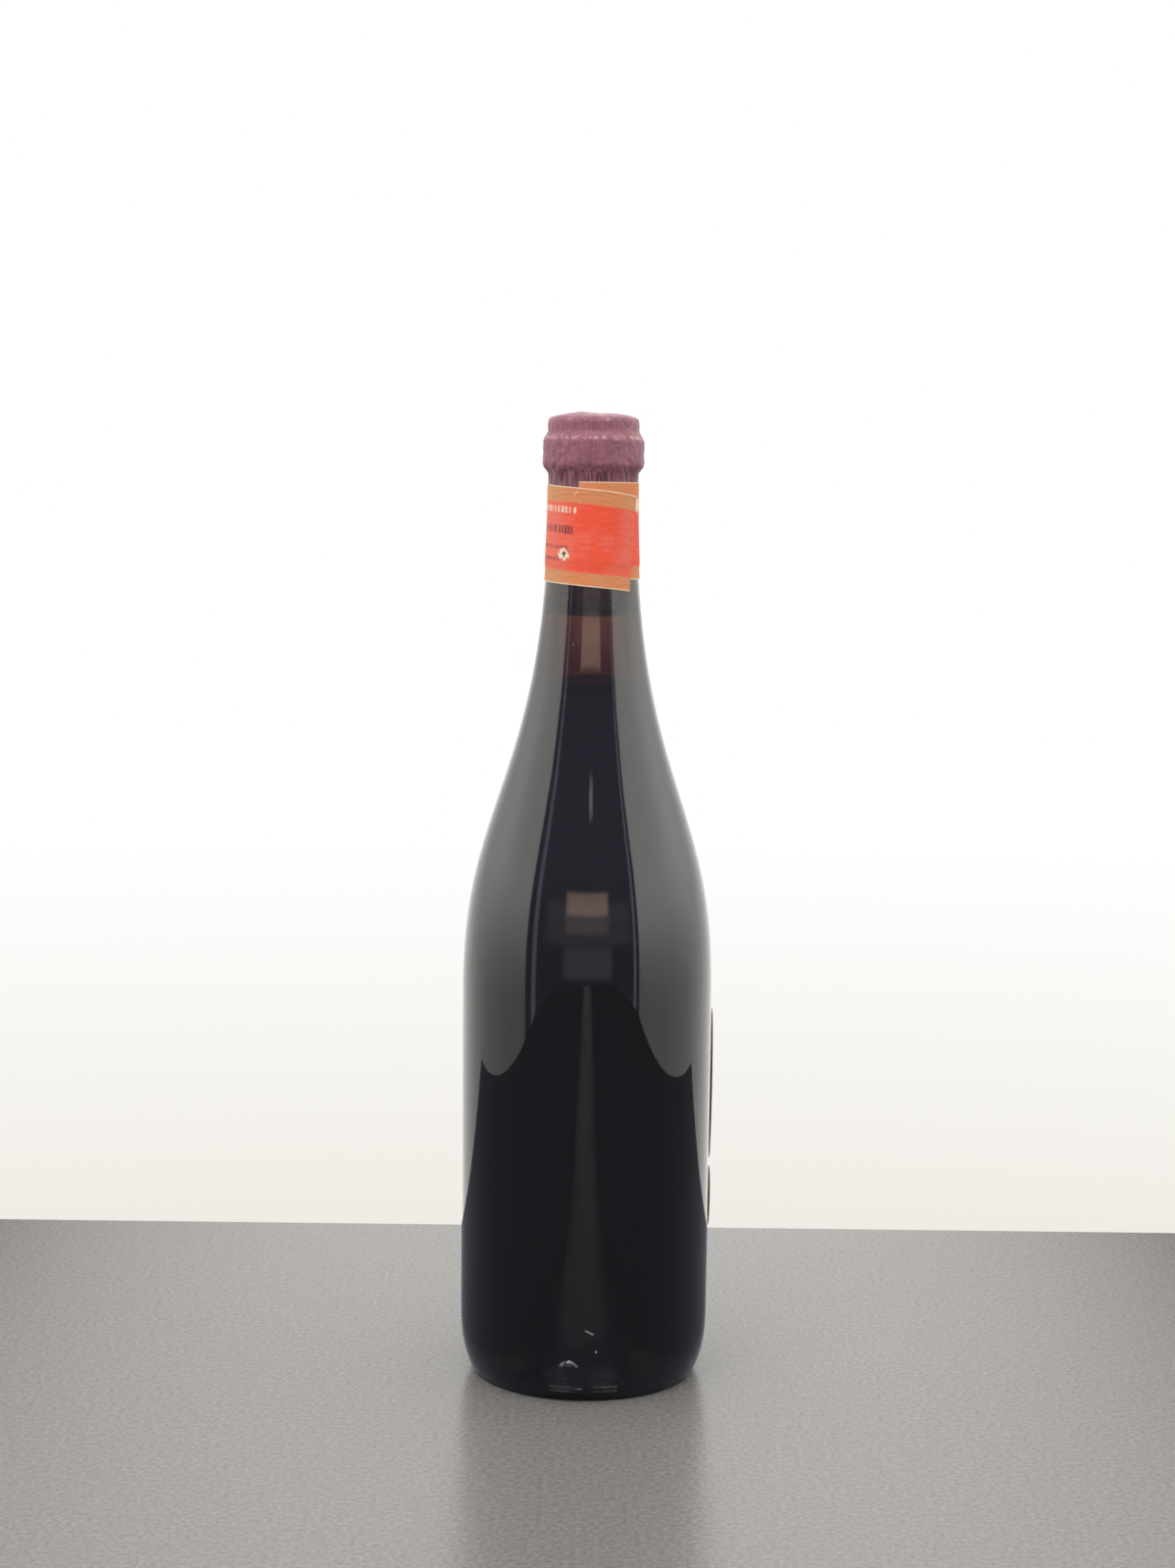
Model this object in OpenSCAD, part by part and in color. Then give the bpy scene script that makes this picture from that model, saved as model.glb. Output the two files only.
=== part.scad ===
// Corked wine bottle with long sloping shoulders, standing on its foot.
// The origin is the centre of the foot's bearing ring and +Z runs up the axis.
// The front labels face +Y; the overlap of the neck band and the locating boss face -Y.

/* [Body] */
// Diameter of the body at the start of the shoulder
body_d = 80; // [66:0.5:97]
// Diameter of the body below the label, just over the heel
lower_body_d = 79.4; // [64:0.1:97]
// Height from the foot to the start of the shoulder
body_h = 125; // [104:1:180]
// Height over which the heel curves into the body
heel_h = 25; // [12:0.5:30]
// Sharpness of the heel's curve
heel_power = 3.5; // [2:0.1:6]
// Diameter of the foot at the surface it stands on
foot_d = 70.9; // [56:0.1:78]
// Thickness of the glass in the body
wall_t = 2.7; // [2:0.1:4.5]

/* [Foot] */
// Width of the flat bearing ring
bearing_w = 3; // [1.5:0.1:5]
// Depth of the hollow under the foot
punt_h = 12; // [5:0.5:30]
// Thickness of the glass over the hollow
base_t = 4.5; // [3:0.1:8]

/* [Locating boss] */
// Diameter of the round boss on the heel
boss_d = 6.3; // [3:0.1:8]
// Height that the boss stands out of the heel
boss_proud = 0.9; // [0.3:0.1:1.5]
// Height of the boss over the foot
boss_z = 11.1; // [5:0.1:20]
// Turn of the boss about the axis, from +X
boss_az = -96.5; // [-180:0.5:180]

/* [Shoulder and neck] */
// Height from the start of the shoulder to the top of the neck
shoulder_h = 159.5; // [132:0.5:192]
// Diameter of the neck where it meets the finish
neck_d = 27.66; // [25:0.02:33.2]
// Length of the upright pull at the foot of the shoulder curve
shoulder_pull = 62.8; // [40:0.1:75]
// Length of the upright pull at the top of the neck curve
neck_pull = 94.7; // [60:0.1:110]

/* [Finish] */
// Height of the finish over the top of the neck
finish_h = 20.5; // [18:0.5:25]
// Diameter of the glass ring
ring_d = 31; // [29:0.1:37]
// Height of the ring's full diameter
ring_h = 7.6; // [4:0.1:9]
// Height of the slope over the ring and under it
ring_slope_h = 2.5; // [1:0.1:3]
// Diameter of the lip over the ring
lip_d = 28; // [26:0.1:33]
// Height of the lip from the ring's slope to the mouth
lip_h = 4; // [3:0.1:6]
// Radius of the rounding on the lip
lip_round = 1.4; // [0.5:0.1:2]
// Diameter of the bore at the mouth
mouth_d = 18.5; // [17:0.1:22.2]
// Diameter of the bore at its lower end
bore_d = 21.2; // [19:0.1:22.4]
// Length of the tapered bore
bore_h = 65; // [54:1:78]

/* [Contents] */
// Depth of the wine's surface under the mouth
ullage = 83; // [75:0.5:100]
// Length of the cork
cork_l = 61.5; // [38:0.5:74]
// Height that the cork stands over the mouth
cork_proud = 0.3; // [0:0.1:0.5]

/* [Capsule] */
// Thickness of the capsule foil
capsule_t = 0.3; // [0.1:0.05:0.5]
// Length of the capsule from the mouth to its lower edge
capsule_l = 45; // [40:0.5:54]
// Rise of the capsule's domed top over its rim
dome_h = 2; // [0.8:0.1:2.5]

/* [Neck band] */
// Width of the paper strip
band_w = 30.2; // [20:0.1:37]
// Thickness of the paper
band_t = 0.2; // [0.1:0.05:0.4]
// Depth of the strip's upper edge under the top of the neck, at its inner end
band_drop = -1.1; // [-1.6:0.1:4]
// Extra drop of the strip's outer end
band_skew = 4; // [0:0.1:7]
// Angle over which the strip overlaps itself
band_overlap = 75; // [10:1:120]
// Turn of the strip's inner end about the axis, from +X
band_az = -108; // [-180:0.5:180]
// Space between the strip and what it is wound on
band_gap = 0.05; // [0.02:0.01:0.1]

/* [Labels] */
// Height of the main label
label_h = 48.5; // [30:0.5:60]
// Height of the lower label
strip_h = 19.3; // [10:0.1:25]
// Depth of the main label's upper edge under the start of the shoulder
label_drop = 7; // [3:0.5:15]
// Space between the two labels
label_space = 2.9; // [1:0.1:5]
// Angle that both labels cover
label_arc = 160; // [90:1:200]
// Turn of the labels' edge about the axis, from +X
label_az = -0.5; // [-10:0.5:20]
// Thickness of the label paper
label_t = 0.3; // [0.1:0.05:0.4]
// Space between the label and the glass
label_gap = 0.05; // [0.02:0.01:0.1]

/* [Hidden] */
$fn = 96;

glass_color = "#2a1f1c";
wine_color = "#1c0a12";
cork_color = "#b98d5f";
capsule_color = "#93636d";
paper_color = "#ddd0b0";
band_color = "#e8634f";

neck_z = body_h + shoulder_h;
mouth_z = neck_z + finish_h;
wine_z = mouth_z - ullage;
cork_z = mouth_z - cork_l;
capsule_z = mouth_z - capsule_l;
label_top = body_h - label_drop;
strip_top = label_top - label_h - label_space;

// Steps in the curves and in the strip's winding
curve_n = 40;
heel_n = 14;
panel_n = 24;
label_n = 12;
round_n = 6;
punt_n = 16;
band_step = 3;

// Share of a hollow's half width at which its curve pulls level
punt_pull = 0.55;
// Rounding inside the heel
inner_heel_r = 9;
// Angle over which the strip climbs onto its own inner end
climb_arc = 18;
// How late in its winding the strip drops
skew_power = 4;
// Room left over the ends of a cut
eps = 1;

// One point of a cubic curve at share t of its way
function bezier(p, t) = let (s = 1 - t)
    s * s * s * p[0] + 3 * s * s * t * p[1] + 3 * s * t * t * p[2] + t * t * t * p[3];
function bezier_points(p, n) = [for (i = [0:n]) bezier(p, i / n)];
function arc(c, r, from, to, n) =
    [for (i = [0:n]) let (a = from + (to - from) * i / n) c + r * [cos(a), sin(a)]];
function reversed(list) = [for (i = [len(list) - 1:-1:0]) list[i]];
function mix(a, b, t) = a + (b - a) * t;
function smooth(t) = let (s = min(max(t, 0), 1)) s * s * (3 - 2 * s);

// Radius of the heel and the body at a height under the shoulder
function body_r(z) = z < heel_h
    ? lower_body_d / 2 - (lower_body_d - foot_d) / 2 * pow(1 - z / heel_h, heel_power)
    : mix(lower_body_d, body_d, smooth((z - heel_h) / (body_h - heel_h))) / 2;

// The shoulder and the neck are one curve that leaves the body and meets the finish upright
shoulder_curve = [[body_d / 2, body_h], [body_d / 2, body_h + shoulder_pull],
                  [neck_d / 2, neck_z - neck_pull], [neck_d / 2, neck_z]];

// Share of the shoulder curve at a height, by halving
function share_at(z, low = 0, high = 1, n = 20) = let (t = (low + high) / 2)
    n == 0 ? t : bezier(shoulder_curve, t)[1] < z ? share_at(z, t, high, n - 1) : share_at(z, low, t, n - 1);
function neck_r(z) = z > neck_z ? neck_d / 2 : bezier(shoulder_curve, share_at(z))[0];

heel_points = [for (i = [0:heel_n]) let (z = heel_h * pow(i / heel_n, 2)) [body_r(z), z]];
body_points = [for (i = [1:panel_n]) let (z = mix(heel_h, body_h, i / panel_n)) [body_r(z), z]];

// The finish from the neck to its rounded lip, moved outwards by off
ring_z = mouth_z - lip_h - ring_slope_h - ring_h;
function finish_points(off) = concat(
    [[neck_d / 2 + off, ring_z - ring_slope_h],
     [ring_d / 2 + off, ring_z],
     [ring_d / 2 + off, ring_z + ring_h],
     [lip_d / 2 + off, mouth_z - lip_h + off]],
    arc([lip_d / 2 - lip_round, mouth_z - lip_round], lip_round + off, 0, 90, round_n));

// The hollow under the foot and the floor of the inside share one curve
punt_r = foot_d / 2 - bearing_w;
function punt_points(r, h, z) = bezier_points(
    [[r, z], [r * (1 - punt_pull / 2), z + h * punt_pull], [r * punt_pull, z + h], [0, z + h]], punt_n);

// The inside, from the middle of its floor to above the mouth
inner_r = body_d / 2 - wall_t;
inner_lower_r = lower_body_d / 2 - wall_t;
floor_r = inner_lower_r - inner_heel_r;
bore_z = mouth_z - bore_h;
bore_lean = (bore_d - mouth_d) / 2 / bore_h;
inner_pull = neck_pull * (bore_z - body_h) / shoulder_h;
inner_curve = [[inner_r, body_h], [inner_r, body_h + shoulder_pull * (bore_z - body_h) / shoulder_h],
               [bore_d / 2 + bore_lean * inner_pull, bore_z - inner_pull], [bore_d / 2, bore_z]];
inner_points = concat(
    reversed(punt_points(floor_r, punt_h, base_t)),
    arc([floor_r, base_t + inner_heel_r], inner_heel_r, -90, 0, round_n),
    [for (p = body_points) [p[0] - wall_t, p[1]]],
    bezier_points(inner_curve, curve_n),
    [[mouth_d / 2 - bore_lean * eps, mouth_z + eps], [0, mouth_z + eps]]);

// Radius of the ball whose cap is the boss
boss_ball_r = (pow(boss_d / 2, 2) + pow(boss_proud, 2)) / (2 * boss_proud);

module outer_form() {
    rotate_extrude()
        polygon(concat([[0, 0]], heel_points, body_points, bezier_points(shoulder_curve, curve_n),
                       finish_points(0), [[0, mouth_z]]));
}

module inside() {
    rotate_extrude() polygon(inner_points);
}

module punt() {
    rotate_extrude() polygon(concat([[0, -eps], [punt_r, -eps]], punt_points(punt_r, punt_h, 0)));
}

// A slab of the inside between two heights
module fill(from, to) {
    intersection() {
        inside();
        translate([0, 0, from]) cylinder(d = body_d, h = to - from);
    }
}

module bottle() {
    color(glass_color) difference() {
        union() {
            outer_form();
            rotate([0, 0, boss_az]) translate([body_r(boss_z) + boss_proud - boss_ball_r, 0, boss_z])
                sphere(r = boss_ball_r);
        }
        inside();
        punt();
    }
}

module wine() {
    color(wine_color) fill(0, wine_z);
}

module cork() {
    color(cork_color) fill(cork_z, mouth_z + cork_proud);
}

// The foil follows the finish and the top of the neck, and closes over the cork in a low dome
module capsule() {
    skirt_n = 8;
    cork_top = mouth_z + cork_proud;
    rim = [lip_d / 2 - lip_round, mouth_z + capsule_t];
    skirt = [for (i = [0:skirt_n]) let (z = mix(capsule_z, neck_z, i / skirt_n)) [neck_r(z), z]];
    dome = [for (i = [1:round_n]) let (s = 1 - i / round_n) [rim[0] * s, rim[1] + dome_h * (1 - s * s)]];
    color(capsule_color) rotate_extrude() difference() {
        polygon(concat([[0, capsule_z]], [for (p = skirt) p + [capsule_t, 0]], finish_points(capsule_t), dome));
        polygon(concat([[0, capsule_z - eps], [neck_r(capsule_z), capsule_z - eps]], skirt, finish_points(0),
                       [[mouth_d / 2 + cork_proud, cork_top], [0, cork_top]]));
    }
}

// The strip's section at a share of its way: its foot, the capsule's edge and its top, inside and outside
band_arc = 360 + band_overlap;
function band_top(a) = neck_z - band_drop - band_skew * pow(a / band_arc, skew_power);
function band_lift(a) = band_gap + (band_t + band_gap) * smooth((a - 360 + climb_arc) / climb_arc);
function band_section(a) = let (
        top = band_top(a), low = top - band_w, mid = capsule_z, lift = band_lift(a),
        radii = [neck_r(low), neck_r(mid) + capsule_t, neck_r(top) + capsule_t],
        heights = [low, mid, top])
    concat([for (i = [0:2]) [radii[i] + lift, heights[i]]],
           [for (i = [2:-1:0]) [radii[i] + lift + band_t, heights[i]]]);

module neck_band() {
    steps = ceil(band_arc / band_step);
    section_n = 6;
    points = [for (k = [0:steps]) let (a = band_arc * k / steps)
        for (p = band_section(a)) [p[0] * cos(a + band_az), p[0] * sin(a + band_az), p[1]]];
    sides = [for (k = [0:steps - 1], i = [0:section_n - 1]) let (
            j = (i + 1) % section_n, a = k * section_n, b = a + section_n)
        each [[a + i, b + i, b + j], [a + i, b + j, a + j]]];
    first = [for (i = [1:section_n - 2]) [0, i, i + 1]];
    end = steps * section_n;
    last = [for (i = [1:section_n - 2]) [end, end + i + 1, end + i]];
    color(band_color) polyhedron(points, concat(sides, first, last));
}

// A sheet of paper on the body between two heights
module body_label(low, high) {
    face = [for (i = [0:label_n]) let (z = mix(low, high, i / label_n)) [body_r(z) + label_gap, z]];
    color(paper_color) rotate([0, 0, label_az]) rotate_extrude(angle = label_arc)
        polygon(concat(face, [for (p = reversed(face)) p + [label_t, 0]]));
}

module front_label() {
    body_label(label_top - label_h, label_top);
}

module lower_label() {
    body_label(strip_top - strip_h, strip_top);
}

bottle();
wine();
cork();
capsule();
neck_band();
front_label();
lower_label();
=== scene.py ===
"""A corked bottle of red wine with long sloping shoulders, standing on a pale table.

The bottle is dark brown glass, filled with red wine to the neck, closed by a cork under a pleated
foil capsule, and sealed by a paper strip wound round the neck. Its two paper labels face +Y and
the overlap of the paper strip and the locating boss on the heel face -Y. Sizes are in millimetres
until they reach a mesh, which is in metres.
"""

import logging
import math
from collections.abc import Callable
from dataclasses import dataclass, field
from enum import Enum
from typing import Any

import bpy
from mathutils import Matrix, Vector, noise

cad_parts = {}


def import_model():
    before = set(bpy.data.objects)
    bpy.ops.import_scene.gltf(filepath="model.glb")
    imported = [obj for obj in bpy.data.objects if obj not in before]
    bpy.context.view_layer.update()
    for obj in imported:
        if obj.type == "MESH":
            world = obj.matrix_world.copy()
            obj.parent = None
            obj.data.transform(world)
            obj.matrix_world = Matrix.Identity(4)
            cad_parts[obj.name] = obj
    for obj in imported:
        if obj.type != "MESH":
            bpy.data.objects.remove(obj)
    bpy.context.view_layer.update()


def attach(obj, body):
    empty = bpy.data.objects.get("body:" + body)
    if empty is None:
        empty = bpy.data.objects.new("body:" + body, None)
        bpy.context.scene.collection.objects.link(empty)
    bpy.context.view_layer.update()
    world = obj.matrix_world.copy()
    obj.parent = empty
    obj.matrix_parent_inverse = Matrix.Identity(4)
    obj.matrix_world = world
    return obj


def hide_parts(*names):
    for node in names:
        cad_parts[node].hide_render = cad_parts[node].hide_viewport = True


MM = 0.001
SEED = 7

log = logging.getLogger("wine_bottle")

Point = tuple[float, float]
Outline = list[tuple[float, float, float]]
Relief = Callable[[bpy.types.NodeTree, dict[str, Any]], Any]


class Slot(Enum):
    """Material slots of the record, passed with each new piece."""

    GLASS = "glass"
    WINE = "wine"
    CORK = "cork"
    FOIL = "foil"
    BAND_PAPER = "band_paper"
    LABEL_PAPER = "label_paper"


# ---------------------------------------------------------------- numbers and nodes


def mix(a: float, b: float, share: float) -> float:
    """Return the number at a share of the way from a to b."""
    return a + (b - a) * share


def smooth(share: float) -> float:
    """Return a share with its start and end eased."""
    s = min(max(share, 0.0), 1.0)
    return s * s * (3 - 2 * s)


def bezier(points: list[Point], share: float) -> Point:
    """Return one point of a cubic curve.

    Args:
        points: the curve's four points.
        share: how far along the curve the point lies, from 0 to 1.

    Returns:
        The point's two coordinates.
    """
    s = 1 - share
    weights = (s ** 3, 3 * s * s * share, 3 * s * share * share, share ** 3)
    return (sum(w * p[0] for w, p in zip(weights, points)), sum(w * p[1] for w, p in zip(weights, points)))


def arc(centre: Point, radius: float, start: float, end: float, steps: int) -> list[Point]:
    """Return the points of a round arc.

    Args:
        centre: the arc's middle.
        radius: its radius.
        start: its first angle in degrees.
        end: its last angle in degrees.
        steps: how many pieces it is cut into.

    Returns:
        One more point than there are pieces.
    """
    angles = [math.radians(mix(start, end, i / steps)) for i in range(steps + 1)]
    return [(centre[0] + radius * math.cos(a), centre[1] + radius * math.sin(a)) for a in angles]


def linear(code: str) -> tuple[float, float, float, float]:
    """Return the linear colour of an sRGB hex code.

    Args:
        code: the code, such as #93636d.

    Returns:
        Red, green, blue and an alpha of 1.
    """
    parts = [int(code[i:i + 2], 16) / 255 for i in (1, 3, 5)]
    red, green, blue = (c / 12.92 if c <= 0.04045 else ((c + 0.055) / 1.055) ** 2.4 for c in parts)
    return (red, green, blue, 1.0)


def add_node(tree: bpy.types.NodeTree, kind: str, settings: dict[str, Any] | None = None,
             inputs: dict[Any, Any] | None = None) -> bpy.types.Node:
    """Add a node with its settings and links.

    Args:
        tree: the tree that gets the node.
        kind: the node's type name.
        settings: properties of the node itself.
        inputs: a value, a socket or a node (which stands for its first output) for each input.

    Returns:
        The new node.
    """
    node = tree.nodes.new(kind)
    for name, value in (settings or {}).items():
        setattr(node, name, value)
    for key, value in (inputs or {}).items():
        if isinstance(value, bpy.types.Node):
            value = value.outputs[0]
        if isinstance(value, bpy.types.NodeSocket):
            tree.links.new(value, node.inputs[key])
        else:
            node.inputs[key].default_value = value
    return node


MATH = "ShaderNodeMath"
RANGE = "ShaderNodeMapRange"
NOISE = "ShaderNodeTexNoise"
BLEND = "ShaderNodeMix"
VECTOR = "ShaderNodeVectorMath"
SPLIT = "ShaderNodeSeparateXYZ"
JOIN = "ShaderNodeCombineXYZ"
MAPPING = "ShaderNodeMapping"
BUMP = "ShaderNodeBump"
COORDINATES = "ShaderNodeTexCoord"
ADD = {"operation": "ADD"}
SUBTRACT = {"operation": "SUBTRACT"}
MULTIPLY = {"operation": "MULTIPLY"}
MULTIPLY_ADD = {"operation": "MULTIPLY_ADD"}
ABSOLUTE = {"operation": "ABSOLUTE"}
MAXIMUM = {"operation": "MAXIMUM"}
SINE = {"operation": "SINE"}
DISTANCE = {"operation": "DISTANCE"}
DIVIDE = {"operation": "DIVIDE"}
LESS_THAN = {"operation": "LESS_THAN"}
GREATER_THAN = {"operation": "GREATER_THAN"}
COLOUR = {"data_type": "RGBA"}
EASED = {"interpolation_type": "SMOOTHSTEP"}


def stripe(tree: bpy.types.NodeTree, settings: dict[str, Any] | None, value: Any, middle: float,
           shape: tuple[float, float, float, float]) -> bpy.types.Node:
    """Add the nodes of a stripe with soft edges, which lies on both sides of one value.

    Args:
        tree: the tree that gets the nodes.
        settings: how the edges fade.
        value: what the stripe is measured along.
        middle: the value in its middle.
        shape: how far from the middle its edge starts and ends, and what it gives inside and outside.

    Returns:
        The node that gives the stripe.
    """
    off = add_node(tree, MATH, SUBTRACT, {0: value, 1: middle})
    away = add_node(tree, MATH, ABSOLUTE, {0: off})
    return add_node(tree, RANGE, settings, {0: away, 1: shape[0], 2: shape[1], 3: shape[2], 4: shape[3]})


def uneven_bars(tree: bpy.types.NodeTree, along: Any, pitch: float, narrow: float,
                wide: float) -> bpy.types.Node:
    """Add the nodes of a row of bars of uneven width, which stand for print.

    Args:
        tree: the tree that gets the nodes.
        along: what the row is measured along.
        pitch: from the start of one bar to the start of the next.
        narrow: the narrowest bar's share of the pitch.
        wide: the widest bar's share of the pitch.

    Returns:
        The node that gives 1 on a bar and 0 between two.
    """
    step = add_node(tree, MATH, DIVIDE, {0: along, 1: pitch})
    number = add_node(tree, MATH, {"operation": "FLOOR"}, {0: step})
    share = add_node(tree, MATH, {"operation": "FRACT"}, {0: step})
    drawn = add_node(tree, "ShaderNodeTexWhiteNoise", {"noise_dimensions": "1D"}, {"W": number})
    reach = add_node(tree, RANGE, None, {0: drawn, 1: 0.0, 2: 1.0, 3: narrow, 4: wide})
    return add_node(tree, MATH, LESS_THAN, {0: share, 1: reach})


def round_axis(tree: bpy.types.NodeTree, radius: Any, cosine: Any, sine: Any, height: Any) -> bpy.types.Node:
    """Add the nodes of a place about the Z axis.

    Args:
        tree: the tree that gets the nodes.
        radius: how far from the axis the place lies.
        cosine: the cosine of its angle.
        sine: the sine of its angle.
        height: its height.

    Returns:
        The node that gives the place.
    """
    return add_node(tree, JOIN, None, {
        0: add_node(tree, MATH, MULTIPLY, {0: radius, 1: cosine}),
        1: add_node(tree, MATH, MULTIPLY, {0: radius, 1: sine}), 2: height})


def start_tree(name: str, inputs: dict[str, str], output: str) -> tuple[bpy.types.NodeTree, bpy.types.Node]:
    """Start a Geometry Nodes tree.

    Args:
        name: the tree's name.
        inputs: the kind of socket of each named input, in order.
        output: the name of the geometry that it gives.

    Returns:
        The tree and the node that gives its inputs.
    """
    tree = bpy.data.node_groups.new(name, "GeometryNodeTree")
    for key, kind in inputs.items():
        tree.interface.new_socket(key, in_out="INPUT", socket_type=f"NodeSocket{kind}")
    tree.interface.new_socket(output, in_out="OUTPUT", socket_type="NodeSocketGeometry")
    return tree, add_node(tree, "NodeGroupInput")


def in_scene(name: str, data: bpy.types.ID) -> bpy.types.Object:
    """Return a new object that holds the data and is linked to the scene.

    Args:
        name: the object's name.
        data: its mesh, camera or light.

    Returns:
        The object, at the origin.
    """
    made = bpy.data.objects.new(name, data)
    bpy.context.scene.collection.objects.link(made)
    return made


# ---------------------------------------------------------------- the bottle's form


@dataclass(frozen=True)
class BottleForm:
    """Outline of the bottle and the places of what is on it and in it, in millimetres."""

    body_d: float = 80.0
    lower_body_d: float = 79.4
    body_h: float = 125.0
    heel_h: float = 25.0
    heel_power: float = 3.5
    foot_d: float = 70.9
    wall_t: float = 2.7
    bearing_w: float = 3.0
    punt_h: float = 12.0
    base_t: float = 4.5
    shoulder_h: float = 159.5
    neck_d: float = 27.66
    shoulder_pull: float = 62.8
    neck_pull: float = 94.7
    finish_h: float = 20.5
    ring_d: float = 31.0
    ring_h: float = 7.6
    ring_slope_h: float = 2.5
    lip_d: float = 28.0
    lip_h: float = 4.0
    lip_round: float = 1.4
    mouth_d: float = 18.5
    bore_d: float = 21.2
    bore_h: float = 65.0
    ullage: float = 83.0
    cork_l: float = 61.5
    cork_proud: float = 0.3
    capsule_l: float = 45.0
    inner_heel_r: float = 9.0
    punt_pull: float = 0.55

    @property
    def neck_z(self) -> float:
        """Height of the top of the neck."""
        return self.body_h + self.shoulder_h

    @property
    def mouth_z(self) -> float:
        """Height of the mouth."""
        return self.neck_z + self.finish_h

    @property
    def ring_z(self) -> float:
        """Height at which the glass ring reaches its full diameter."""
        return self.mouth_z - self.lip_h - self.ring_slope_h - self.ring_h

    @property
    def wine_z(self) -> float:
        """Height of the wine's surface."""
        return self.mouth_z - self.ullage

    @property
    def cork_z(self) -> float:
        """Height of the cork's lower end."""
        return self.mouth_z - self.cork_l

    @property
    def cork_top(self) -> float:
        """Height of the cork's upper end."""
        return self.mouth_z + self.cork_proud

    @property
    def capsule_z(self) -> float:
        """Height of the capsule's lower edge."""
        return self.mouth_z - self.capsule_l

    def body_r(self, z: float) -> float:
        """Return the radius of the heel or the body at a height.

        Args:
            z: the height.

        Returns:
            The outer radius there.
        """
        if z < self.heel_h:
            rise = (1 - z / self.heel_h) ** self.heel_power
            return self.lower_body_d / 2 - (self.lower_body_d - self.foot_d) / 2 * rise
        share = smooth((z - self.heel_h) / (self.body_h - self.heel_h))
        return mix(self.lower_body_d, self.body_d, share) / 2

    def shoulder(self) -> list[Point]:
        """Return the four points of the curve of the shoulder and the neck."""
        return [(self.body_d / 2, self.body_h), (self.body_d / 2, self.body_h + self.shoulder_pull),
                (self.neck_d / 2, self.neck_z - self.neck_pull), (self.neck_d / 2, self.neck_z)]

    def neck_r(self, z: float) -> float:
        """Return the radius of the shoulder or the neck at a height.

        Args:
            z: the height, from the body's top upwards.

        Returns:
            The outer radius there, found by halving the curve 24 times.
        """
        if z >= self.neck_z:
            return self.neck_d / 2
        low, high = 0.0, 1.0
        for _ in range(24):
            share = (low + high) / 2
            if bezier(self.shoulder(), share)[1] < z:
                low = share
            else:
                high = share
        return bezier(self.shoulder(), low)[0]

    def radius(self, z: float) -> float:
        """Return the outer radius at any height under the finish."""
        return self.body_r(z) if z < self.body_h else self.neck_r(z)

    def finish(self, off: float, steps: int = 8) -> list[Point]:
        """Return the outside of the finish, from the neck to the lip.

        Args:
            off: how far it is moved outwards.
            steps: how many pieces the lip's rounding is cut into.

        Returns:
            Its points, upwards.
        """
        lip = (self.lip_d / 2 - self.lip_round, self.mouth_z - self.lip_round)
        ring_r = self.ring_d / 2 + off
        return [(self.neck_d / 2 + off, self.ring_z - self.ring_slope_h), (ring_r, self.ring_z),
                (ring_r, self.ring_z + self.ring_h), (self.lip_d / 2 + off, self.mouth_z - self.lip_h + off),
                *arc(lip, self.lip_round + off, 0, 90, steps)]

    def hollow(self, radius: float, height: float, z: float, steps: int) -> list[Point]:
        """Return the curve of the hollow under the foot or of the floor over it.

        Args:
            radius: its radius.
            height: how far its middle stands over its edge.
            z: the height of its edge.
            steps: how many pieces it is cut into.

        Returns:
            Its points, from the edge inwards.
        """
        curve = [(radius, z), (radius * (1 - self.punt_pull / 2), z + height * self.punt_pull),
                 (radius * self.punt_pull, z + height), (0.0, z + height)]
        return [bezier(curve, i / steps) for i in range(steps + 1)]

    def bore_r(self, z: float) -> float:
        """Return the radius of the tapered bore at a height."""
        return mix(self.bore_d, self.mouth_d, (z - self.mouth_z + self.bore_h) / self.bore_h) / 2

    def inner(self, steps: int = 70) -> list[Point]:
        """Return the inside of the glass.

        Args:
            steps: how many pieces the shoulder is cut into.

        Returns:
            Its points, from the middle of the floor to the mouth.
        """
        floor_r = self.lower_body_d / 2 - self.wall_t - self.inner_heel_r
        lean = (self.bore_d - self.mouth_d) / 2 / self.bore_h
        bore_z = self.mouth_z - self.bore_h
        share = (bore_z - self.body_h) / self.shoulder_h
        inner_r = self.body_d / 2 - self.wall_t
        curve = [(inner_r, self.body_h), (inner_r, self.body_h + self.shoulder_pull * share),
                 (self.bore_d / 2 + lean * self.neck_pull * share, bore_z - self.neck_pull * share),
                 (self.bore_d / 2, bore_z)]
        walls = [mix(self.heel_h, self.body_h, i / 24) for i in range(1, 24)]
        return (self.hollow(floor_r, self.punt_h, self.base_t, 16)[::-1]
                + arc((floor_r, self.base_t + self.inner_heel_r), self.inner_heel_r, -90, 0, 10)[1:]
                + [(self.body_r(z) - self.wall_t, z) for z in walls]
                + [bezier(curve, i / steps) for i in range(steps + 1)]
                + [(self.bore_r(z), z) for z in (252.0, 265.0, 280.0, 293.0, self.mouth_z)])

    def inner_r(self, z: float) -> float:
        """Return the inside radius at a height.

        Args:
            z: the height, over the heel.

        Returns:
            The radius there, or the mouth's over the mouth.
        """
        points = [p for p in self.inner() if p[1] > self.heel_h]
        for low, high in zip(points, points[1:]):
            if low[1] <= z <= high[1]:
                return mix(low[0], high[0], (z - low[1]) / (high[1] - low[1]))
        return self.mouth_d / 2


def outline(points: list[Point], share: float = 0.0) -> Outline:
    """Return outline points that all take the same share of a piece's relief."""
    return [(r, share, z) for r, z in points]


def shifted(points: list[Point], distance: float) -> list[Point]:
    """Return an outline moved sideways.

    Args:
        points: the outline's points.
        distance: how far each one moves, to the right of the outline's way.

    Returns:
        The moved points, none of them past the axis.
    """
    moved = []
    for i, (r, z) in enumerate(points):
        before, after = points[max(i - 1, 0)], points[min(i + 1, len(points) - 1)]
        along = Vector((after[0] - before[0], after[1] - before[1])).normalized()
        moved.append((max(r + along.y * distance, 0.0), z - along.x * distance))
    return moved


# ---------------------------------------------------------------- making meshes


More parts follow.
